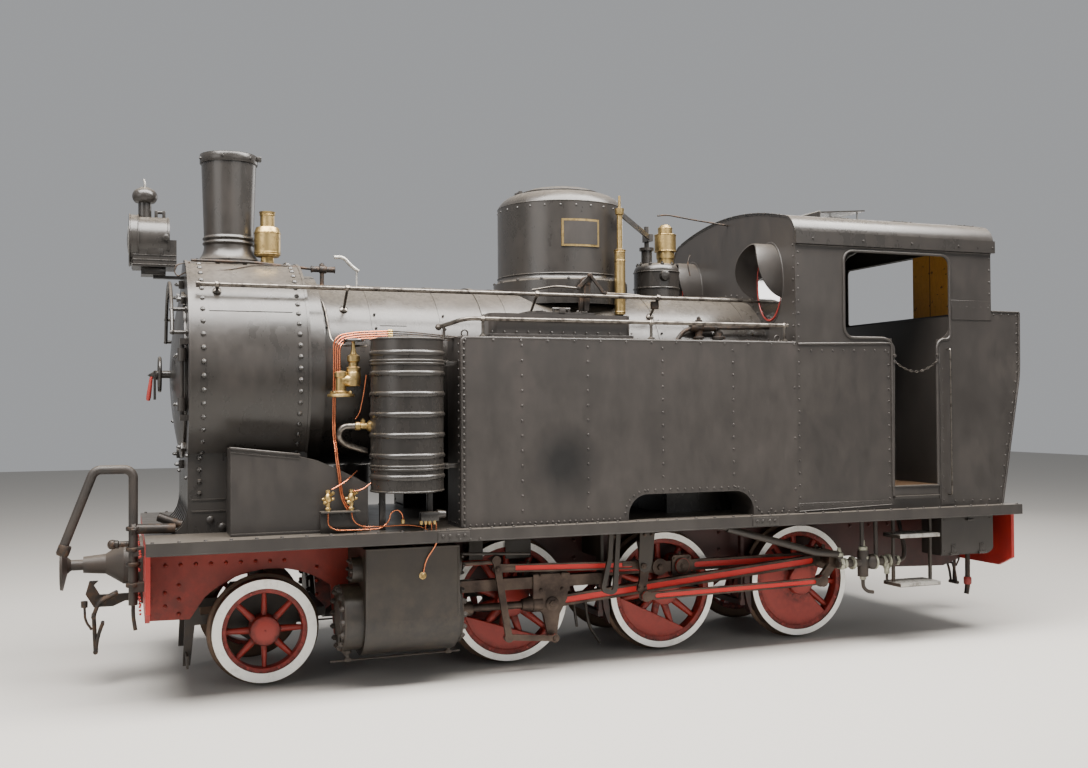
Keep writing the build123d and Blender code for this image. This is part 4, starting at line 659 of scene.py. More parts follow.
# copper lubricator pipes: a bundle over the boiler side, down to the brass valves and cocks
copperTrim = {"pipe": 12, "gap": 16, "count": 4, "drop": 0.78}
copperRuns = []
for number in range(copperTrim["count"]):
    shift, back = number * copperTrim["gap"], number * 8
    beside = shift * copperTrim["drop"]
    copperRuns.append((copperTrim["pipe"], [(-1868, -800, 2506 - shift), (-2000, -812, 2500 - shift),
        (-2120, -826, 2492 - shift), (-2280 + beside, -846 - back, 2462 - shift), (-2280 + beside, -852 - back,
        2200)]))
    # the outer two leave the bundle at the valve by the drum
    if number < 2:
        copperRuns[-1][1].extend([(-2290 + beside, -858 - back, 1800), (-2284 + beside, -955, 1610),
            (-2272 + beside, -972, 1500), (-2256 + beside, -986, 1340), (-2216 + shift, -1000, 1262)])
    else:
        copperRuns[-1][1].append((-2280 + beside, -852 - back, 2075))
copperRuns += [(10, points) for points in (
    [(-2351, -1030, 1262), (-2354, -1040, 1160), (-2300, -1040, 1128), (-1998, -1040, 1124), (-1936, -1040, 1170),
        (-1922, -1040, 1240), (-1870, -1040, 1256), (-1838, -1040, 1216), (-1838, -1040, 1178)],
    [(-2194, -1030, 1262), (-2186, -1040, 1186), (-2120, -1040, 1144), (-1955, -1040, 1142), (-1800, -1040, 1146),
        (-1700, -1040, 1126), (-1658, -1050, 1100)],
    [(-2322, -1010, 1404), (-2223, -990, 1453), (-2130, -905, 1520)],
    [(-2176, -1012, 1388), (-2120, -1010, 1394), (-2050, -1000, 1440)],
    [(-2061, -900, 2190), (-2082, -900, 2040), (-2110, -900, 1920), (-2140, -900, 1880)],
    [(-1606, -1080, 1022), (-1620, -1066, 985), (-1680, -1052, 895), (-1700, -1050, 790)])]
copperRuns += [(9, [(x, -1070, 1160), (x, -1070, 1104)]) for x in (-1641, -1608, -1685)]
pipes("copper_pipes", copperRuns, drawnCopper, corner=70)
pipes("oil_feed_pipes", [(9, [(-1868, -800, 2506 - 16 * n), (-1700, -800, 2500 - 14 * n),
    (-1490, -780, 2484 - 11 * n), (-1300, -740, 2470 - 9 * n)]) for n in range(4)], blackIron, corner=90)

brass = bmesh.new()
for number in range(4):
    turned(brass, [(11, 0), (13, 8), (13, 30), (9, 36), (0, 40)], (-1886, -800, 2506 - 16 * number), aft, 10)
# main steam valve by the drum: stem, bonnet, elbow, flange
turned(brass, [(48, 0), (56, 10), (56, 34), (38, 44), (38, 130), (46, 140), (46, 170), (34, 178), (0, 184)],
    (-2236, -880, 2036), steps=24)
turned(brass, [(92, 0), (96, 8), (92, 20), (44, 26)], (-2236, -880, 2036), steps=28)
turned(brass, [(0, 0), (46, 4), (50, 40), (50, 96), (44, 104), (50, 112), (50, 132), (34, 140), (34, 168),
    (44, 176), (44, 214), (24, 226), (14, 262), (12, 320), (0, 322)], (-2148, -880, 2108), (0, 0, 1), 24)
turned(brass, [(44, 0), (44, 92)], (-2236, -880, 2150), aft, 20)
for c, s in circle(4, 45):
    nut(brass, (-2236 + 78 * c, -880 + 78 * s, 2060), 20, 14)
# drum cock with its nuts
turned(brass, [(34, 0), (34, 20), (22, 28), (22, 70), (30, 78), (30, 104), (20, 112)], (-2040, -930, 1832), fore,
    18)
turned(brass, [(42, 0), (42, 10), (30, 16), (0, 18)], (-2050, -930, 1832), aft, 18)
nut(brass, (-2092, -930, 1850), 30, 26)
# the two lubricator cocks on their shelf, with their handles
for x in (-2351, -2192):
    turned(brass, [(22, 0), (22, 12), (13, 20), (15, 50), (26, 62), (28, 84), (20, 100), (12, 112), (16, 120),
        (16, 134), (0, 140)], (x, -1020, 1266), steps=16)
    turned(brass, [(9, -40), (13, -22), (13, 22), (9, 40)], (x, -1020, 1340), aft, 12)
    turned(brass, [(10, 0), (12, 26), (0, 30)], (x - 18, -1046, 1312), (-0.5, -1, 0.4), 10)
    turned(brass, [(10, 0), (12, 30), (0, 32)], (x + 14, -1040, 1372), (0.8, -1, 0.6), 10)
    nut(brass, (x, -1030, 1246), 24, 18)
for x in (-1717, -1685, -1657, -1621):
    turned(brass, [(11, 0), (13, 10), (13, 26), (0, 34)], (x, -1076, 1146), steps=12)
turned(brass, [(13, 0), (15, 12), (15, 30), (0, 34)], (-1838, -1040, 1156), steps=12)
turned(brass, [(24, 0), (26, 8), (12, 16), (12, 26), (0, 28)], (-1700, -1044, 790), (0, -1, 0), 18)
keep("brass_fittings", brass, agedBrass)
pipes("drum_elbow", [(46, [(-2140, -930, 1832), (-2236, -925, 1832), (-2262, -905, 1760), (-2210, -880, 1706),
    (-2050, -860, 1655)])], railSteel, corner=80)
shelf = bmesh.new()
block(shelf, (-2272, -1030, 1254), (270, 96, 10), 2)
block(shelf, (-2272, -986, 1178), (250, 10, 146), 2)
turned(shelf, [(70, 0), (74, 8), (70, 16), (14, 18)], (-2148, -880, 2424), steps=28)
block(shelf, (-1655, -1060, 1200), (130, 56, 66), 6)
turned(shelf, [(30, 0), (32, 8), (24, 60), (0, 66)], (-1600, -1060, 1212), aft, 16)
for x in (-1700, -1640):
    block(shelf, (x, -1060, 1170), (26, 40, 26), 4)

# air drum: one turned shell with rounded ribs, on two feet
drumTrim = {"place": (-1788, -968, 1375), "tall": 1065, "radius": 255, "rib": 265.5,
    "ribs": (105, 250, 392, 535, 677, 820, 960), "bands": (2272, 1545)}
radius, rib, tall = drumTrim["radius"], drumTrim["rib"], drumTrim["tall"]
shell = [(248, 0), (radius, 8)]
for z in drumTrim["ribs"]:
    shell += [(radius, z - 19), (261, z - 13), (rib, z - 4), (rib, z + 4), (261, z + 13), (radius, z + 19)]
shell += [(radius, tall - 8), (248, tall)]
drum = bmesh.new()
turned(drum, shell, drumTrim["place"], steps=72)
for x in (-170, 170):
    block(drum, (drumTrim["place"][0] + x, drumTrim["place"][1] + 40, 1240), (40, 40, 274), 3)
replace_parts(keep("air_drum_shell", drum, boilerEnamel), "air_drum")
# drum bands with their bolted lugs, and the stand
for z in drumTrim["bands"]:
    for edge in (10, -10):
        hoop(shelf, (-1788, -968, z + edge), 254, 22, steps=56)
    block(shelf, (-1516, -1000, z), (40, 26, 40), 4)
    nut(shelf, (-1516, -1014, z), 22, 16, (0, -1, 0))
    block(shelf, (-1470, -985, z), (90, 14, 30), 3)
for z in (2434, 1382):
    hoop(shelf, (-1788, -968, z), 254, 14, steps=56)
turned(shelf, [(0, 0), (150, -2), (200, -6), (252, -14), (252, -20)], (-1788, -968, 2452), steps=48)
keep("drum_fittings", shelf, boilerEnamel)
print("front fittings and copper pipes made")

# steam pipe casings: their top falls away to the rear; flange strip and nuts
casingTrim = {"inner": (620, 330), "upper": (655, 295), "lower": ((-2985, 1105), (-2985, 1630), (-2532, 1630),
    (-2400, 1598), (-2293, 1549), (-2170, 1490), (-2062, 1430), (-2062, 1105)), "step": ((-2985, 1690),
    (-2532, 1637), (-2532, 1630), (-2985, 1630))}
casings = bmesh.new()
for side in (-1, 1):
    for outline, (y, depth) in (("lower", casingTrim["inner"]), ("step", casingTrim["upper"])):
        plate(casings, casingTrim[outline], side * y, side * depth)
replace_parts(keep("steam_pipe_casings", casings, plateEnamel, soft=False), "steam_casings")
trim = bmesh.new()
for side in (-1, 1):
    plate(trim, ((-2990, 1688), (-2990, 1704), (-2526, 1650), (-2526, 1634)), side * 906, side * 54, 3)
    plate(trim, ((-2988, 1664), (-2988, 1672), (-2528, 1619), (-2528, 1611)), side * 949, side * 5, 1)
    block(trim, (-2520, side * 952, 1115), (930, 8, 20), 2)
    for x, z in ((-3091, 1193), (-3011, 1143)):
        turned(trim, [(28, 0), (26, 10), (16, 18), (0, 20)], (x, side * 620, z), (0, side, 0), 18)
keep("casing_strips", trim, plateEnamel)

# tanks: rivet columns, foot row that follows the opening, top angle, box foot, seams of the lids
tankTrim = {"face": -1048, "head": 20, "columns": ((-1397, 1114, 2419, 47), (-960, 1211, 2403, 105),
    (-446, 1214, 2400, 105), (168, 1427, 2398, 100), (776, 1334, 2390, 100)), "arch": (-152, 980, 1328, 190)}
face = tankTrim["face"]
front, rear, top, corner = tankTrim["arch"]
places = sheetRows(face, [(x, low, x, high, pitch) for x, low, high, pitch in tankTrim["columns"]])
places += sheetRows(face, ((-1397, 1122, front - 40, 1122, 44), (rear + 40, 1122, 1330, 1122, 60),
    (front + corner, top, rear - corner, top, 62), (-1386, 2440, 1330, 2440, 210)))
for centreX, first in ((front + corner, 90), (rear - corner, 0)):
    # six rivets round each corner of the opening
    for c, s in circle(24, first + 7.5)[:6]:
        places.append((centreX + corner * c, face, top - corner + corner * s))
places += [(1330, face, z) for z in (1300, 1700, 2100)]
rivets("tank_rivets", mirrored(places), tankTrim["head"], tankEnamel)
faceRow = row((-1419, -1000, 1160), (-1419, -1000, 2410), 60) + row((-1419, -960, 1130), (-1419, -740, 1130), 60)
rivets("tank_front_rivets", mirrored(faceRow), tankTrim["head"], tankEnamel)
topRow = row((-1170, -1008, 2504), (-70, -1008, 2504), 90) + row((-1380, -1030, 2464), (1330, -1030, 2464), 105)
rivets("tank_top_rivets", mirrored(topRow), 16, tankEnamel)
pipes("tank_edge", [(26, [(1344, side * 1040, 2453), (-1409, side * 1040, 2453), (-1409, side * 1040, 1112)])
    for side in (-1, 1)] + [(24, [(-1409, side * 1040, 2453), (-1409, side * 720, 2453)]) for side in (-1, 1)],
    tankEnamel, corner=30)
trim = bmesh.new()
for side in (-1, 1):
    block(trim, (-620, side * 1000, 2476), (1136, 14, 30), 3)
    block(trim, (-620, side * 740, 2476), (1136, 14, 30), 3)
    for x in (-1186, -54):
        block(trim, (x, side * 870, 2476), (14, 260, 30), 3)
    for x in (-1340, 1280):
        block(trim, (x, side * 880, 2470), (70, 60, 14), 3)
        hoop(trim, (x, side * 880, 2496), 24, 12, (0, 1, 0), 24)
    block(trim, (-620, side * 986, 2668), (50, 26, 40), 4)
keep("tank_top_fittings", trim, tankEnamel)
for side, body in ((-1, "filler_lid_left"), (1, "filler_lid_right")):
    ribs = bmesh.new()
    for x in (-800, -440):
        block(ribs, (x, side * 870, 2660), (46, 236, 10), 2)
    for x in (-760, -480):
        block(ribs, (x, side * 870, 2659), (40, 210, 8), 2)
        for y in (800, 940):
            nut(ribs, (x, side * y, 2662), 18, 10)
    for x in (-680, -560):
        turned(ribs, [(9, 0), (9, 26)], (x, side * 962, 2654), steps=12)
    turned(ribs, [(10, 0), (10, 140)], (-690, side * 962, 2682), aft, 12)
    keep(body + "_ribs", ribs, plateEnamel, body)
print("tanks riveted")

# dome: bare plate with brass border, shoulder rivets, lid hinge pins, regulator linkage
domeTrim = {"x": -248, "radius": 520, "plate": (-428, -115, 3223, 3440)}
left, right, low, high = domeTrim["plate"]
trim, border = bmesh.new(), bmesh.new()
steps = 14
for number in range(steps):
    xa, xb = (left + (right - left) * (number + k) / steps for k in (0, 1))
    for shape, grow, proud in ((border, 0, 8), (trim, 16, 10)):
        a, b = (min(max(x, left + grow), right - grow) for x in (xa, xb))
        if b - a < 1:
            continue
        corners = [(x, -sqrt(domeTrim["radius"] ** 2 - (x - domeTrim["x"]) ** 2), z)
            for x, z in box(a, low + grow, b, high - grow)]
        slab(shape, corners, (0, -proud, 0))
keep("dome_plate", trim, plateEnamel)
keep("dome_plate_border", border, agedBrass)
heads = [(domeTrim["x"] + 517 * c, 517 * s, 3552) for c, s in circle(26)]
rivets("dome_rivets", heads, 20, boilerEnamel)
trim = bmesh.new()
hoop(trim, (-248, 0, 3586), 516, 14, steps=80)
hoop(trim, (-248, 0, 3012), 520, 12, steps=80)
for c, s in circle(16, 8):
    if abs(548 * s) < 540:
        nut(trim, (-248 + 548 * c, 548 * s, 2962), 22, 14)
keep("dome_trim", trim, boilerEnamel)
lidTrim = bmesh.new()
hoop(lidTrim, (-248, 0, 3714), 326, 12, steps=64)
block(lidTrim, (88, 0, 3716), (40, 46, 22), 4)
nut(lidTrim, (-248, 0, 3750), 40, 18)
keep("dome_lid_trim", lidTrim, boilerEnamel, "dome_lid")

linkage = bmesh.new()
block(linkage, (-297, -600, 2740), (60, 40, 150), 6)
turned(linkage, [(34, -40), (34, 40)], (-269, -606, 2940), (0, 1, 0), 20)
for y, outline in ((-640, ((-300, 2700), (-258, 2700), (-240, 2960), (-300, 2960))),
        (-652, ((-370, 2880), (-352, 2862), (-240, 2960), (-262, 2990))), (-668, ((-280, 2990), (-254, 2996),
        (-130, 2850), (-150, 2832))), (-640, ((90, 2848), (96, 2826), (350, 2806), (344, 2828)))):
    plate(linkage, outline, y, 14, 3)
for x, z in ((-269, 2976), (-362, 2872), (-140, 2842)):
    nut(linkage, (x, -668, z), 28, 18, (0, -1, 0))
block(linkage, (306, -640, 2760), (60, 40, 60), 5)
keep("regulator_linkage", linkage, blackIron)
pipes("regulator_rods", [(20, [(-140, -640, 2842), (86, -640, 2838), (320, -640, 2818), (1346, -640, 2812)]),
    (16, [(-362, -640, 2876), (-520, -620, 2890), (-700, -560, 2860)])], railSteel)

# boiler feed clack and its pipes on the left side, ahead of the cab
clack = bmesh.new()
turned(clack, [(46, 0), (46, 14), (30, 22), (30, 70), (44, 80), (46, 120), (30, 132), (30, 150), (0, 156)],
    (700, -640, 2500), steps=20)
turned(clack, [(34, 0), (40, 30), (34, 76), (0, 80)], (700, -640, 2590), fore, 18)
turned(clack, [(30, 0), (34, 26), (28, 120), (36, 130), (0, 136)], (720, -640, 2590), aft, 18)
turned(clack, [(54, 0), (54, 16), (36, 24), (36, 60), (0, 62)], (880, -640, 2500), steps=20)
for x in (700, 880):
    nut(clack, (x, -640, 2650 if x == 700 else 2556), 34, 22)
keep("clack_valve", clack, blackIron)
pipes("feed_pipes", [(34, [(640, -640, 2586), (560, -640, 2560), (500, -640, 2480)]),
    (28, [(840, -650, 2590), (980, -650, 2590), (1344, -650, 2600)]), (12, [(900, -130, 3254), (870, -130, 3180),
    (892, -140, 3070)])], blackIron, corner=60)

# whistle and safety valve levers, base flange nuts
pipes("whistle_lever", [(14, [(655, 0, 3596), (747, 0, 3610), (1000, 0, 3580), (1344, 0, 3546)])], blackIron,
    corner=40)
trim = bmesh.new()
for c, s in circle(10, 10):
    turned(trim, [(17, 0), (17, 12), (9, 16), (9, 26), (0, 28)], (640 + 160 * c, 160 * s, 3158), steps=12)
turned(trim, [(40, 0), (46, 20), (40, 46), (20, 54), (0, 56)], (619, -180, 3056), (0, -1, 0), 20)
for z, across in ((2960, 14), (3100, 10)):
    hoop(trim, (640, 0, z), 196, across, steps=48)
keep("safety_base_trim", trim, boilerEnamel)
valveTrim = bmesh.new()
for x, y, across, steps, beads in ((727, 0, 8, 36, ((3290, 92), (3430, 92), (3490, 60))),
        (-2648, -135, 7, 36, ((3104, 94), (3118, 95), (3262, 95), (3400, 54))), (60, -520, 9, 28,
        ((2710, 43), (3190, 43), (3120, 43)))):
    for z, radius in beads:
        hoop(valveTrim, (x, y, z), radius, across, steps=steps)
keep("brass_valve_beads", valveTrim, agedBrass)
print("dome, safety valves and linkage made")

# cab: beading round window and doorway, sheet edges, rivets, hood rims, gutter and roof seams
cabTrim = {"window": (1801, 2855, 2503, 3209), "door": (2264, 2717, 1283), "bead": 24}
front, rear, foot, head = cabTrim["window"]
doorFront, doorRear, sill = cabTrim["door"]
beads = []
for side in (-1, 1):
    y = side * 1052
    beads.append((cabTrim["bead"], [(doorFront, y, sill), (doorFront, y, foot - 40), (doorFront - 60, y, foot),
        (front, y, foot), (front, y, head), (rear, y, head), (rear, y, foot), (doorRear + 40, y, foot),
        (doorRear, y, foot - 50), (doorRear, y, sill)]))
    for across, points in ((20, ((1362, 2446), (2180, 2462), (2284, 2462), (2266, 1210))),
            (16, ((2730, 2441), (2730, 1173))), (16, ((1358, 3240), (3290, 3240))),
            (14, ((3294, 2750), (3594, 2748))), (18, ((3594, 2744), (3588, 2208), (3390, 1112))),
            (12, ((1360, 1116), (2250, 1140)))):
        beads.append((across, [(x, y, z) for x, z in points]))
pipes("cab_beading", beads, plateEnamel, corner=85)

places = sheetRows(-1049, ((2229, 1191, 2229, 2385, 100), (1486, 2395, 2200, 2404, 102),
    (995, 1146, 1330, 1146, 98), (1390, 1160, 2150, 1160, 98), (2770, 1158, 2770, 2256, 99),
    (2885, 2780, 3255, 2780, 75), (1372, 1227, 1372, 2397, 98), (1372, 2500, 1372, 3180, 98),
    (3276, 2800, 3276, 3200, 100), (3320, 2724, 3560, 2724, 80), (3566, 2650, 3562, 2230, 84),
    (3545, 2150, 3380, 1250, 91), (2800, 1146, 3340, 1146, 90)))
rivets("cab_rivets", mirrored(places), 18)
rearRows = row((3600, -960, 2700), (3600, 960, 2700), 96)
for y in (-1000, -340, 340, 1000):
    rearRows += sheetRows(y, ((3599, 2250, 3599, 2690, 88), (3582, 2140, 3405, 1200, 94)))
rivets("bunker_rivets", rearRows, 20)
frontRow = [(1345, y, z) for x, y, z in ring(0, 712, 96, (-120, 120))]
frontRow += mirrored(row((1345, -1020, 2500), (1345, -1020, 3240), 92))
rivets("cab_front_rivets", frontRow, 18)

trim = bmesh.new()
for side in (-1, 1):
    for outline, thick in ((box(2872, 2672, 3290, 2836), 5), (box(2742, 1120, 2866, 2484), 4),
            (box(1356, 1112, 2250, 1180), 4)):
        plate(trim, outline, side * 1050, side * thick, 1)
    block(trim, (1365, side * 1062, 3298), (16, 20, 96), 2)
    for x in (1500, 1980, 2460, 2940, 3300):
        nut(trim, (x, side * 1073, 3290), 16, 8, (0, side, 0))
    for x, z in ((2283, 2360), (2714, 2370), (2283, 2310), (2714, 2320)):
        turned(trim, [(14, 0), (14, 14), (0, 18)], (x, side * 1056, z), (0, side, 0), 14)
    for x in (1450, 2000, 2700, 3230):
        block(trim, (x, side * 962, 3452), (40, 12, 20), 2)
keep("cab_side_plates", trim, plateEnamel)

sillPlate = bmesh.new()
for side in (-1, 1):
    for y, z, deep, tall, edge in ((1040, 1286, 64, 12, 3), (1056, 1232, 12, 96, 3), (1060, 1206, 44, 8, 2)):
        block(sillPlate, (2490, side * y, z), (446, deep, tall), edge)
keep("door_sills", sillPlate, plateEnamel)

# hood rims, window rings and their screws
rims = bmesh.new()
glassRing = bmesh.new()
for y in (-676, 676):
    hoop(glassRing, (1340, y, 2966), 187, 10, aft, 64)
    hoop(rims, (1350, y, 2966), 200, 18, aft, 64)
for shape in (rims, glassRing):
    # the windows are ovals, taller than wide
    bmesh.ops.scale(shape, vec=(1, 1, 309 / 188), space=Matrix.Translation((0, 0, -2.966)), verts=shape.verts)
keep("hood_foot_rims", rims, plateEnamel)
keep("oval_window_rings", glassRing, trimRed)

# roof: seam strips, front and rear edge angles, vent lever
roof = bmesh.new()
roofRivets = []
for x in (1350, 2010, 2650, 3312):
    for number in range(16):
        ya, yb = (-880 + 110 * (number + k) for k in (0, 1))
        za, zb = (3608 - 112 * (abs(y) / 880) ** 2 for y in (ya, yb))
        slab(roof, [(x - 14, ya, za - 2), (x + 14, ya, za - 2), (x + 14, yb, zb - 2), (x - 14, yb, zb - 2)],
            (0, 0, 7))
        roofRivets.append((x, (ya + yb) / 2, (za + zb) / 2 + 5))
keep("roof_seams", roof, boilerEnamel)
rivets("roof_rivets", roofRivets, 14, boilerEnamel)
pipes("roof_vent_stay", [(12, [(2560, y, 3696), (2560, y, 3606)]) for y in (-200, 200)] + [(14,
    [(2095, -300, 3668), (2095, 300, 3668)])], treadPlate)

# chain across the doorway: links on a sagging line
chainTrim = {"left": (2288, 2313), "sag": 2232, "right": (2710, 2326), "links": 15}
for side in (-1, 1):
    links = bmesh.new()
    (xa, za), (xb, zb) = chainTrim["left"], chainTrim["right"]
    for number in range(chainTrim["links"]):
        share = (number + 0.5) / chainTrim["links"]
        drop = 4 * ((za + zb) / 2 - chainTrim["sag"]) * share * (1 - share)
        x, z = xa + (xb - xa) * share, za + (zb - za) * share - drop
        part = torus(7.5, 4.2, 6, 10)
        bmesh.ops.scale(part, vec=(2.1, 1, 1), verts=part.verts)
        slope = atan2((zb - za) - 4 * ((za + zb) / 2 - chainTrim["sag"]) * (1 - 2 * share), xb - xa)
        tilt = Matrix.Rotation(-slope, 3, "Y") @ Matrix.Rotation(radians(90 * (number % 2)), 3, "X")
        bmesh.ops.rotate(part, cent=(0, 0, 0), matrix=tilt, verts=part.verts)
        addTo(links, part, (x, side * 1064, z))
    keep("door_chain_left" if side < 0 else "door_chain_right", links, railSteel)

# thin grab rail behind the doorway
pipes("door_grab_rails", [(14, [(2820, side * 1052, 2424), (2820, side * 1096, 2424), (2821, side * 1096, 1206),
    (2821, side * 1052, 1206)]) for side in (-1, 1)], railSteel, corner=26)
print("cab trimmed")

# tool boxes: hinge leaves, handle and hasp on each flap
for side, body in ((-1, "tool_box_door_left"), (1, "tool_box_door_right")):
    trim = bmesh.new()
    for x in (2880, 3180):
        block(trim, (x, side * 1033, 744), (44, 8, 74), 2)
        for z in (730, 766):
            turned(trim, [(8, 0), (6, 5), (0, 6)], (x, side * 1036, z), (0, side, 0), 10)
    block(trim, (3049, side * 1034, 1000), (40, 10, 52), 2)
    turned(trim, [(7, -34), (7, 34)], (3049, side * 1048, 984), aft, 12)
    for x in (3019, 3079):
        block(trim, (x, side * 1040, 984), (8, 22, 14), 2)
    for x, z in ((2790, 990), (3270, 990), (2790, 730)):
        turned(trim, [(8, 0), (6, 5), (0, 6)], (x, side * 1030, z), (0, side, 0), 10)
    keep("flap_fittings_" + ("left" if side < 0 else "right"), trim, plateEnamel, body)
places = sheetRows(-1019, ((2778, 720, 2778, 1070, 70), (3282, 790, 3282, 1070, 70)))
rivets("tool_box_rivets", mirrored(places), 14)

# steps: pale tread plates with turned-down lips, bolts through the hangers
treads = bmesh.new()
for side in (-1, 1):
    for z in (483, 878):
        block(treads, (2470, side * 1010, z + 16), (396, 216, 6), 2)
        block(treads, (2470, side * 1119, z + 4), (396, 5, 26), 1)
        for number in range(11):
            block(treads, (2300 + 34 * number, side * 1010, z + 20), (8, 196, 4), 1)
keep("step_treads", treads, treadPlate)
hangers = bmesh.new()
for side in (-1, 1):
    for x in (2285, 2655):
        for z in (450, 845, 1060):
            nut(hangers, (x, side * 1022, z + 30), 20, 12, (0, side, 0))
keep("step_bolts", hangers, lowEnamel)
print("steps and tool boxes fitted")

# deck: bolts along the edge, joint plates on the valance, beading under the edge
deckTrim = {"pitch": 162, "front": -3480, "rear": 3480}
places = row((deckTrim["front"], -1118, 1105), (deckTrim["rear"], -1118, 1105), deckTrim["pitch"])
rivets("deck_bolts", mirrored(places), 26)
trim = bmesh.new()
for side in (-1, 1):
    for x in (-1500, 1000):
        block(trim, (x, side * 1141, 1062), (230, 8, 66), 2)
        for step in (-80, -30, 30, 80):
            nut(trim, (x + step, side * 1144, 1066), 22, 10, (0, side, 0))
    for x in (-1531, -1456, -1382, -1308):
        nut(trim, (x, side * 1141, 1036), 18, 8, (0, side, 0))
    block(trim, (0, side * 1134, 1026), (7030, 14, 10), 3)
keep("valance_plates", trim, plateEnamel)

# frames: rivet rows on the front plates and beams, horn bolts
places = row((-3480, -401, 867), (-2560, -401, 862), 103)
places += [(x, -401, z) for x, z in ((-3484, 759), (-3288, 724), (-3380, 675), (-3484, 643), (-3288, 626),
    (-3378, 582), (-3485, 526), (-3288, 524), (-2330, 800), (-2330, 700), (-2330, 600), (-1200, 900), (-1200, 760),
    (-300, 900), (-300, 760), (1000, 900), (1000, 760), (2300, 900), (2500, 900), (2700, 900))]
rivets("frame_rivets", mirrored(places), 30, frameRed)
places = [(x, y, z) for x in (-3549, 3549) for z in (640, 700, 1010) for y in range(-980, 981, 140)]
places += [(x, side * y, z) for x in (-3549, 3549) for side in (-1, 1) for y in (400, 470) for z in (760, 850, 940)]
rivets("beam_rivets", places, 17, beamRed)

# cylinders: cover nuts, drain cocks and their rod, wrapper seams, valve rod gland
cylinderTrim = {"axis": (775, 488), "ends": ((-2230, -1), (-1390, 1)), "nuts": 14, "circle": 206}
y, z = cylinderTrim["axis"]
reach = cylinderTrim["circle"]
trim = bmesh.new()
for side in (-1, 1):
    for x, out in cylinderTrim["ends"]:
        for c, s in circle(cylinderTrim["nuts"]):
            nut(trim, (x, side * y + reach * c, z + reach * s), 36, 26, (out, 0, 0))
        turned(trim, [(120, 0), (112, 16), (60, 24), (0, 26)], (x, side * y, z), (out, 0, 0), 32)
        hoop(trim, (x - out * 4, side * y, z), 224, 16, aft, 56)
    for x, out in ((-2170, -1), (-1378, 1)):
        for c, s in circle(6):
            nut(trim, (x, side * 865 + 68 * c, 830 + 68 * s), 24, 16, (out, 0, 0))
    for x in (-2180, -1450):
        turned(trim, [(26, 0), (26, 20), (16, 28), (16, 52), (0, 56)], (x, side * 800, 262), (0, 0, -1), 14)
        block(trim, (x, side * 800, 196), (44, 26, 26), 3)
keep("cylinder_covers", trim, lowEnamel)
pipes("drain_rods", [(14, [(-2302, side * 800, 190), (-1366, side * 800, 196)]) for side in (-1, 1)] + [(26,
    [(-2180, side * 800, 216), (-2236, side * 800, 300), (-2236, side * 800, 380)]) for side in (-1, 1)], lowEnamel,
    corner=30)
trim = bmesh.new()
for side in (-1, 1):
    for x in (-2092, -1438):
        block(trim, (x, side * 1044, 740), (14, 6, 480), 2)
    block(trim, (-1765, side * 1044, 984), (666, 8, 12), 2)
keep("cylinder_strips", trim, cylinderEnamel)
print("deck, frames and cylinders fitted")

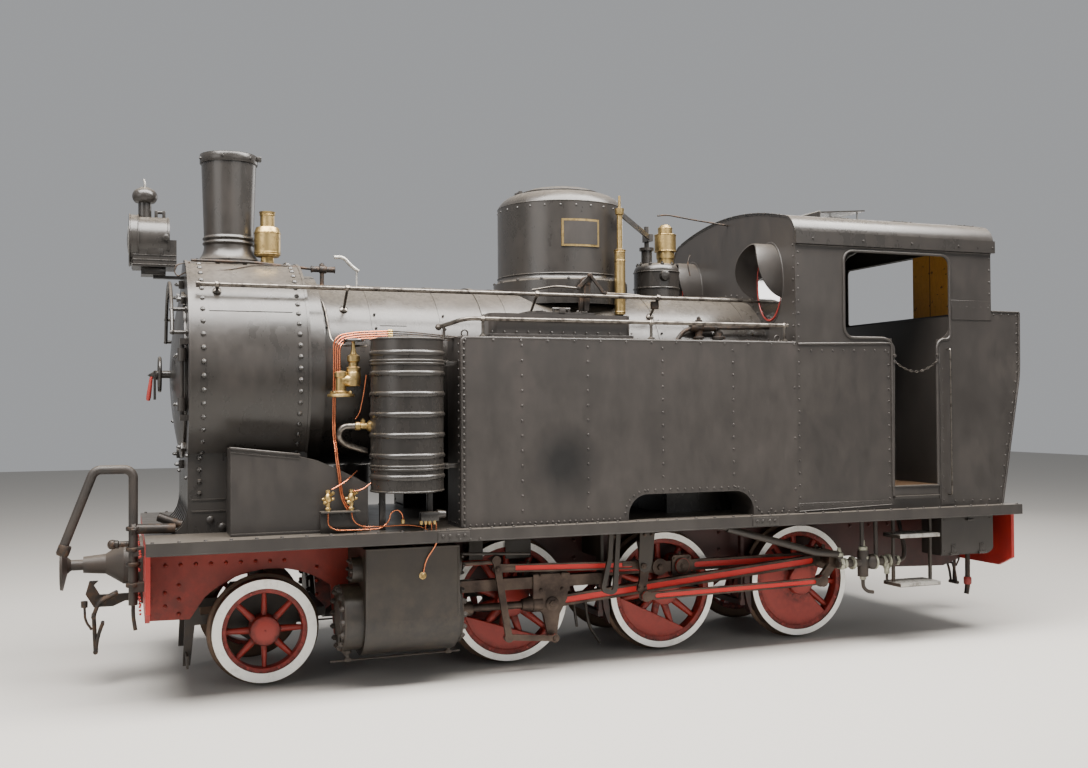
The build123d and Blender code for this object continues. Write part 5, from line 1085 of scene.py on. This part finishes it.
# motion: oil cups, pin nuts, link bolts, crosshead bolts, gland nuts
cranks = {-1: 60, 1: 150}
motionTrim = {"throw": 230, "axleZ": 488, "rodLength": 2445}
throw, axleZ, rodLength = (motionTrim[key] for key in ("throw", "axleZ", "rodLength"))
for side, name in ((-1, "left"), (1, "right")):
    out = (0, side, 0)
    angle = radians(cranks[side])
    pinX, pinZ = throw * cos(angle), throw * sin(angle)
    gudgeonX = 1673 + pinX - sqrt(rodLength ** 2 - pinZ ** 2)
    fixed, hung, swinging = bmesh.new(), bmesh.new(), bmesh.new()
    for profile, place, axis, steps in (([(17, 0), (17, 22), (10, 28), (10, 36), (0, 38)],
            (1673 + pinX, 745, axleZ + pinZ + 82), (0, 0, 1), 14), ([(14, 0), (14, 18), (8, 22), (0, 28)],
            (gudgeonX, 745, axleZ + 60), (0, 0, 1), 14), ([(52, 0), (52, 8), (46, 12)], (gudgeonX, 820, axleZ), out,
            28), ([(48, 0), (56, 10), (56, 40), (48, 70), (40, 100)], (gudgeonX - 130, 775, axleZ), fore, 28),
            ([(66, 0), (66, 24), (52, 30), (52, 110), (44, 124)], (-1384, 775, axleZ), aft, 28)):
        turned(fixed, profile, (place[0], side * place[1], place[2]), axis, steps)
    nuts = [(gudgeonX, 830, axleZ, 50, 18), (gudgeonX, 882, 240, 34, 16), (-1102, 904, 782, 34, 16),
        (50, 938, 745, 40, 18)]
    nuts += [(gudgeonX + shift, 834, z, 26, 14) for z in (706, 596) for shift in (75, -95)]
    nuts += [(x, 906, z, 22, 12) for z in (915, 575) for x in (28, 80)]
    nuts += [(x, y, z, 22, 12) for x, y, z in ((-200, 948, 640), (-200, 948, 980), (60, 938, 980), (120, 938, 980))]
    for x, y, z, across, tall in nuts:
        nut(fixed, (x, side * y, z), across, tall, out)
    for x, z in ((-52, 760), (-1004, 780)):
        block(fixed, (x, side * 875, z), (92, 9, 40), 2)
    keep("motion_bolts_" + name, fixed, oiledRod)
    for x, wide in ((-838, 204), (-1175, 110)):
        block(hung, (x, side * 589, 919), (wide, 16, 222), 3)
    keep("motion_hangers_" + name, hung, cylinderEnamel)
    pipes("guide_rods_" + name, [(22, [(-1372, side * 880, 904), (-851, side * 880, 878)]),
        (24, [(-252, side * 500, 470), (-244, side * 500, 366), (-218, side * 500, 230), (-125, side * 500, 92)]),
        (22, [(-350, side * 500, 470), (-346, side * 500, 393), (-322, side * 500, 235)])], lowEnamel)
    for x in (-891, 395, 1673):
        turned(swinging, [(15, 0), (15, 20), (9, 26), (9, 34), (0, 36)], (x + pinX, side * 640, axleZ + pinZ + 76),
            steps=14)
    for shift, drop, across, tall in ((-190, 0, 44, 16), (-64, -60, 18, 8), (-64, 60, 18, 8), (64, -60, 18, 8),
            (64, 60, 18, 8)):
        nut(swinging, (395 + pinX + shift, side * 674, axleZ + pinZ + drop), across, tall, out)
    keep("coupling_rod_fittings_" + name, swinging, oiledRod, "coupling_rod_" + name)

# wheels: cast centres with oval spokes, rounded rims, chord-edged balance weights and crank bosses
driver = {"rim": (370, 410), "hub": 118, "hubFace": 582, "spokes": 11}
wheelTrim = {"leading": {"rim": (263, 297), "hub": 106, "hubFace": 580, "spokes": 8, "start": 90},
    "driver_1": driver | {"weight": (203, 12)}, "driver_2": driver | {"weight": (198, 4)},
    "driver_3": driver | {"weight": (8, -16)}}
wheelDepth = {"rim": (454, 558), "spoke": 502, "cones": ((0.033, 0.022), (0.027, 0.019)), "weight": (468, 556),
    "boss": (480, 600), "back": 415}
for axle, trimmed in wheelTrim.items():
    axleX, axleZ = axles[axle][0] * 1000, axles[axle][1] * 1000
    inner, outer = trimmed["rim"]
    hub = trimmed["hub"]
    wheel = bmesh.new()
    for side in (-1, 1):
        out = (0, side, 0)
        low, high = wheelDepth["rim"]
        deep = high - low
        turned(wheel, [(inner + 8, 0), (outer - 1, 0), (outer - 1, deep), (inner + 8, deep), (inner + 2, deep - 4),
            (inner, deep - 12), (inner, 12), (inner + 2, 4), (inner + 8, 0)], (axleX, side * low, axleZ), out, 72)
        reach = trimmed["hubFace"] - wheelDepth["back"]
        turned(wheel, [(hub - 8, 0), (hub, 8), (hub, reach - 14), (hub - 6, reach - 4), (hub - 18, reach)],
            (axleX, side * wheelDepth["back"], axleZ), out, 44)
        crank = cranks[side]
        long = inner + 10 - hub * 0.8
        middle = hub * 0.8 + long / 2
        base, tip = wheelDepth["cones"][axle == "leading"]
        for c, s in circle(trimmed["spokes"], trimmed.get("start", crank)):
            part = bmesh.new()
            bmesh.ops.create_cone(part, cap_ends=True, segments=14, radius1=base, radius2=tip, depth=long / 1000)
            bmesh.ops.scale(part, vec=(0.82, 1, 1), verts=part.verts)
            addTo(wheel, part, (axleX + middle * c, side * wheelDepth["spoke"], axleZ + middle * s), (c, 0, s))
        if "weight" in trimmed:
            away, lean = trimmed["weight"]
            middle = radians(crank + 180 - side * lean)
            half = acos(away / (inner + 4))
            low, high = wheelDepth["weight"]
            turns = [middle - half + 2 * half * step / 30 for step in range(31)]
            plate(wheel, [(axleX + (inner + 4) * cos(turn), axleZ + (inner + 4) * sin(turn)) for turn in turns],
                side * low, side * (high - low), 5)
            # the boss round the crank pin: the outline of two circles and their tangents
            pinX, pinZ = axleX + throw * cos(radians(crank)), axleZ + throw * sin(radians(crank))
            tangent = degrees(acos((hub - 82) / throw))
            outline = [(axleX, axleZ, hub, crank + tangent + (360 - 2 * tangent) * step / 24) for step in range(25)]
            outline += [(pinX, pinZ, 82, crank - tangent + 2 * tangent * step / 16) for step in range(17)]
            low, high = wheelDepth["boss"]
            plate(wheel, [(x + reach * cos(radians(turn)), z + reach * sin(radians(turn))) for x, z, reach,
                turn in outline], side * low, side * (high - low), 5)
            turned(wheel, [(45, 0), (45, 82), (62, 82), (62, 92)], (pinX, side * 600, pinZ), out, 32)
    turned(wheel, [(75, -430), (75, 430)], (axleX, 0, axleZ), (0, 1, 0), 32)
    reds = nodes[axle + "_wheels"].data.materials[0]
    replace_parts(keep(axle + "_castings", wheel, reds, axle + "_wheelset"), axle + "_wheels")

# wheels: hub rings, crank pin caps, set screws in the rims
for axle, place in axles.items():
    axleX, axleZ, rim = (value * 1000 for value in place)
    face, reach = (580, 90) if axle == "leading" else (600, 74)
    caps = bmesh.new()
    for side in (-1, 1):
        out = (0, side, 0)
        hoop(caps, (axleX, side * (face - 6), axleZ), reach - 8, 12, (0, 1, 0), 40)
        if axle == "leading":
            turned(caps, [(9, 0), (9, 4), (4, 6), (0, 4)], (axleX, side * face, axleZ), out, 14)
        for c, s in circle(8, 20):
            turned(caps, [(9, 0), (9, 5), (0, 7)], (axleX + (rim - 18) * c, side * 558, axleZ + (rim - 18) * s),
                out, 10)
    keep(axle + "_hub_rings", caps, trimRed, axle + "_wheelset")
    if axle in ("driver_1", "driver_2"):
        caps = bmesh.new()
        for side in (-1, 1):
            angle = radians(cranks[side])
            x, z = axleX + throw * cos(angle), axleZ + throw * sin(angle)
            turned(caps, [(58, -4), (58, 4), (40, 10), (0, 12)], (x, side * 692, z), (0, side, 0), 28)
            nut(caps, (x, side * 700, z), 46, 12, (0, side, 0))
        keep(axle + "_pin_caps", caps, oiledRod, axle + "_wheelset")
print("motion and wheels fitted")

# injector group under the cab, with its cocks and unions, and the overflow pipes
for side, name in ((-1, "left"), (1, "right")):
    y = side * 962
    trim = bmesh.new()
    for x, radius, wide in ((1790, 52, 30), (1830, 44, 20), (1908, 54, 18), (2120, 64, 16), (2210, 48, 26),
            (2262, 56, 18), (2340, 44, 24)):
        turned(trim, [(radius, 0), (radius, wide)], (x, y, 670), aft, 6 if wide > 20 else 24)
    turned(trim, [(44, 0), (44, 18), (26, 26), (26, 60), (36, 66), (36, 96), (18, 104), (14, 150), (0, 152)],
        (2023, y, 700), steps=18)
    turned(trim, [(36, 0), (36, 60), (26, 68), (26, 110), (0, 112)], (2021, y, 640), (0, 0, -1), 18)
    turned(trim, [(30, 0), (30, 50), (22, 56), (22, 96), (0, 100)], (2257, y, 660), (0, 0, -1), 18)
    turned(trim, [(34, 0), (34, 26), (20, 34), (14, 70), (0, 72)], (1792, y, 730), steps=16)
    turned(trim, [(24, 0), (30, 30), (20, 60), (0, 64)], (2105, y - side * 40, 690), (0, side, 0), 18)
    for c, s in circle(6):
        nut(trim, (2131, y + 44 * c, 670 + 44 * s), 16, 10, aft)
    keep("injector_fittings_" + name, trim, injectorGrey)
    pipes("injector_pipes_" + name, [(34, [(2014, y, 760), (2014, y, 1090)]), (30,
        [(2150, y, 700), (2150, y, 1090)]), (36, [(2345, y, 670), (2420, y, 670), (2470, y + 40 * -side, 740),
        (2470, y + 120 * -side, 1000)]), (30, [(2021, y, 540), (2021, y, 470), (2060, y, 430), (2120, y, 420)]),
        (22, [(2257, y, 572), (2257, y, 500)]), (34, [(760, y, 1000), (560, y, 1030), (420, y - side * 60, 1040)])],
        lowEnamel, corner=45)
pipes("hose_pipes", [(44, [(3300, -700, 1000), (3315, -700, 632), (3312, -700, 440)]),
    (44, [(3312, -700, 372), (3306, -700, 330), (3296, -700, 290)])], blackIron, corner=60)
coupling = bmesh.new()
turned(coupling, [(30, 0), (34, 10), (34, 56), (28, 66), (0, 70)], (3312, -700, 374), steps=18)
keep("hose_coupling", coupling, trimRed)
print("injectors fitted")

# draw gear and pipes at the front: ejector pipe on the deck, coupling links, buffer fittings
pipes("deck_front_pipes", [(70, [(-3570, -600, 1150), (-3320, -600, 1144)]), (64, [(-3425, -440, 1212),
    (-3300, -480, 1164), (-3200, -520, 1138)]), (26, [(-3590, -600, 700), (-3590, -600, 560), (-3575, -600, 470)])],
    blackIron, corner=50)
trim = bmesh.new()
for z in (1140, 1000, 900, 760):
    turned(trim, [(44, 0), (48, 6), (48, 22), (44, 28)], (-3590, -600, z), steps=20)
turned(trim, [(50, 0), (50, 24)], (-3600, -600, 1150), aft, 6)
turned(trim, [(20, 0), (20, 60), (28, 66), (28, 84), (0, 88)], (-3620, -600, 1052), fore, 12)
turned(trim, [(0, -34), (20, -28), (30, -14), (32, 0), (30, 14), (20, 28), (0, 34)], (-3722, -600, 1052), steps=20)
turned(trim, [(38, 0), (42, 10), (42, 60), (34, 74)], (-4010, -600, 1062), (-0.35, 0, -1), 18)
keep("standpipe_fittings", trim, blackIron)

bufferTrim = {"reach": 3550, "bolts": 8}
low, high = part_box("buffers")
height = (low[2] + high[2]) * 500
trim = bmesh.new()
for end in (-1, 1):
    turned(trim, [(176, 0), (180, 8), (176, 16), (130, 24), (118, 60)], (end * bufferTrim["reach"], 0, height),
        (end, 0, 0), 40)
    for c, s in circle(bufferTrim["bolts"], 22):
        nut(trim, (end * (bufferTrim["reach"] + 14), 154 * c, height + 154 * s), 30, 20, (end, 0, 0))
    for side in (-1, 1):
        block(trim, (end * 3560, side * 300, height + 60), (20, 90, 130), 4)
keep("buffer_fittings", trim, lowEnamel)

# screw coupling hanging from each hook: bow, trunnion, screw, lever with its weight, lower bow
linkRuns = []
for end in (-1, 1):
    for across in (-38, 38):
        y = end * 90 + across
        linkRuns += [(28, [(end * 3700, y, 650), (end * 3815, y, 596), (end * 3848, y, 500)]),
            (24, [(end * 3835, y, 250), (end * 3818, y, 360), (end * 3790, y, 440)])]
    for x, z, tube, half in ((3848, 497, 34, 62), (3700, 650, 28, 46), (3790, 440, 26, 46), (3835, 250, 34, 58)):
        linkRuns.append((tube, [(end * x, end * 90 - half, z), (end * x, end * 90 + half, z)]))
    for tube, points in ((30, ((3848, 497), (3835, 236))), (18, ((3862, 400), (3905, 470), (3910, 593))),
            (46, ((3910, 560), (3910, 604)))):
        linkRuns.append((tube, [(end * x, end * 90, z) for x, z in points]))
pipes("coupling_links", linkRuns, blackIron, corner=30)
print("draw gear fitted")

stage = {"floorColour": "#aeaba6", "floorSize": 60, "worldColour": "#e9ebee", "worldStrength": 0.45}
bpy.ops.mesh.primitive_plane_add(size=stage["floorSize"])
floor = bpy.context.object
floor.name = "floor"
floorMaterial = newMaterial("floor_plain", Roughness=0.85, Base_Color=linear(stage["floorColour"]))[0]
floor.data.materials.append(floorMaterial)

world = bpy.data.worlds.new("soft_room")
world.use_nodes = True
world.node_tree.nodes["Background"].inputs["Color"].default_value = linear(stage["worldColour"])
world.node_tree.nodes["Background"].inputs["Strength"].default_value = stage["worldStrength"]
bpy.context.scene.world = world

lamps = {"skylight": {"place": (-0.5, -2.5, 8.5), "aim": (-0.5, -0.4, 1.5), "size": (15.0, 4.5), "power": 5300},
    "front_fill": {"place": (-11.0, -6.0, 4.5), "aim": (-1.0, 0.0, 1.8), "size": (6.0, 4.0), "power": 220},
    "side_fill": {"place": (3.0, -11.0, 5.0), "aim": (0.5, 0.0, 1.2), "size": (9.0, 3.0), "power": 170},
    "back_fill": {"place": (8.0, 9.0, 5.0), "aim": (0.5, 0.0, 1.5), "size": (6.0, 4.0), "power": 250}}
for name, lamp in lamps.items():
    light = bpy.data.lights.new(name, "AREA")
    light.shape = "RECTANGLE"
    light.size, light.size_y = lamp["size"]
    light.energy = lamp["power"]
    light.color = linear("#fffbf6")[:3]
    held = bpy.data.objects.new(name, light)
    held.location = lamp["place"]
    towards = Vector(lamp["aim"]) - Vector(lamp["place"])
    held.rotation_euler = towards.to_track_quat("-Z", "Y").to_euler()
    bpy.context.collection.objects.link(held)

view = {"place": (-3.651, -8.693, 1.968), "heading": 20.515, "tilt": 1.098, "roll": 0.340, "lens": 37.17}
camera = bpy.data.objects.new("camera", bpy.data.cameras.new("camera"))
camera.data.lens = view["lens"]
camera.data.sensor_width = 36
camera.matrix_world = Matrix.Translation(view["place"])
for angle, axis in ((-view["heading"], "Z"), (90 + view["tilt"], "X"), (-view["roll"], "Z")):
    camera.matrix_world = camera.matrix_world @ Matrix.Rotation(radians(angle), 4, axis)
bpy.context.collection.objects.link(camera)
bpy.context.scene.camera = camera
print("stage, lights and camera set")
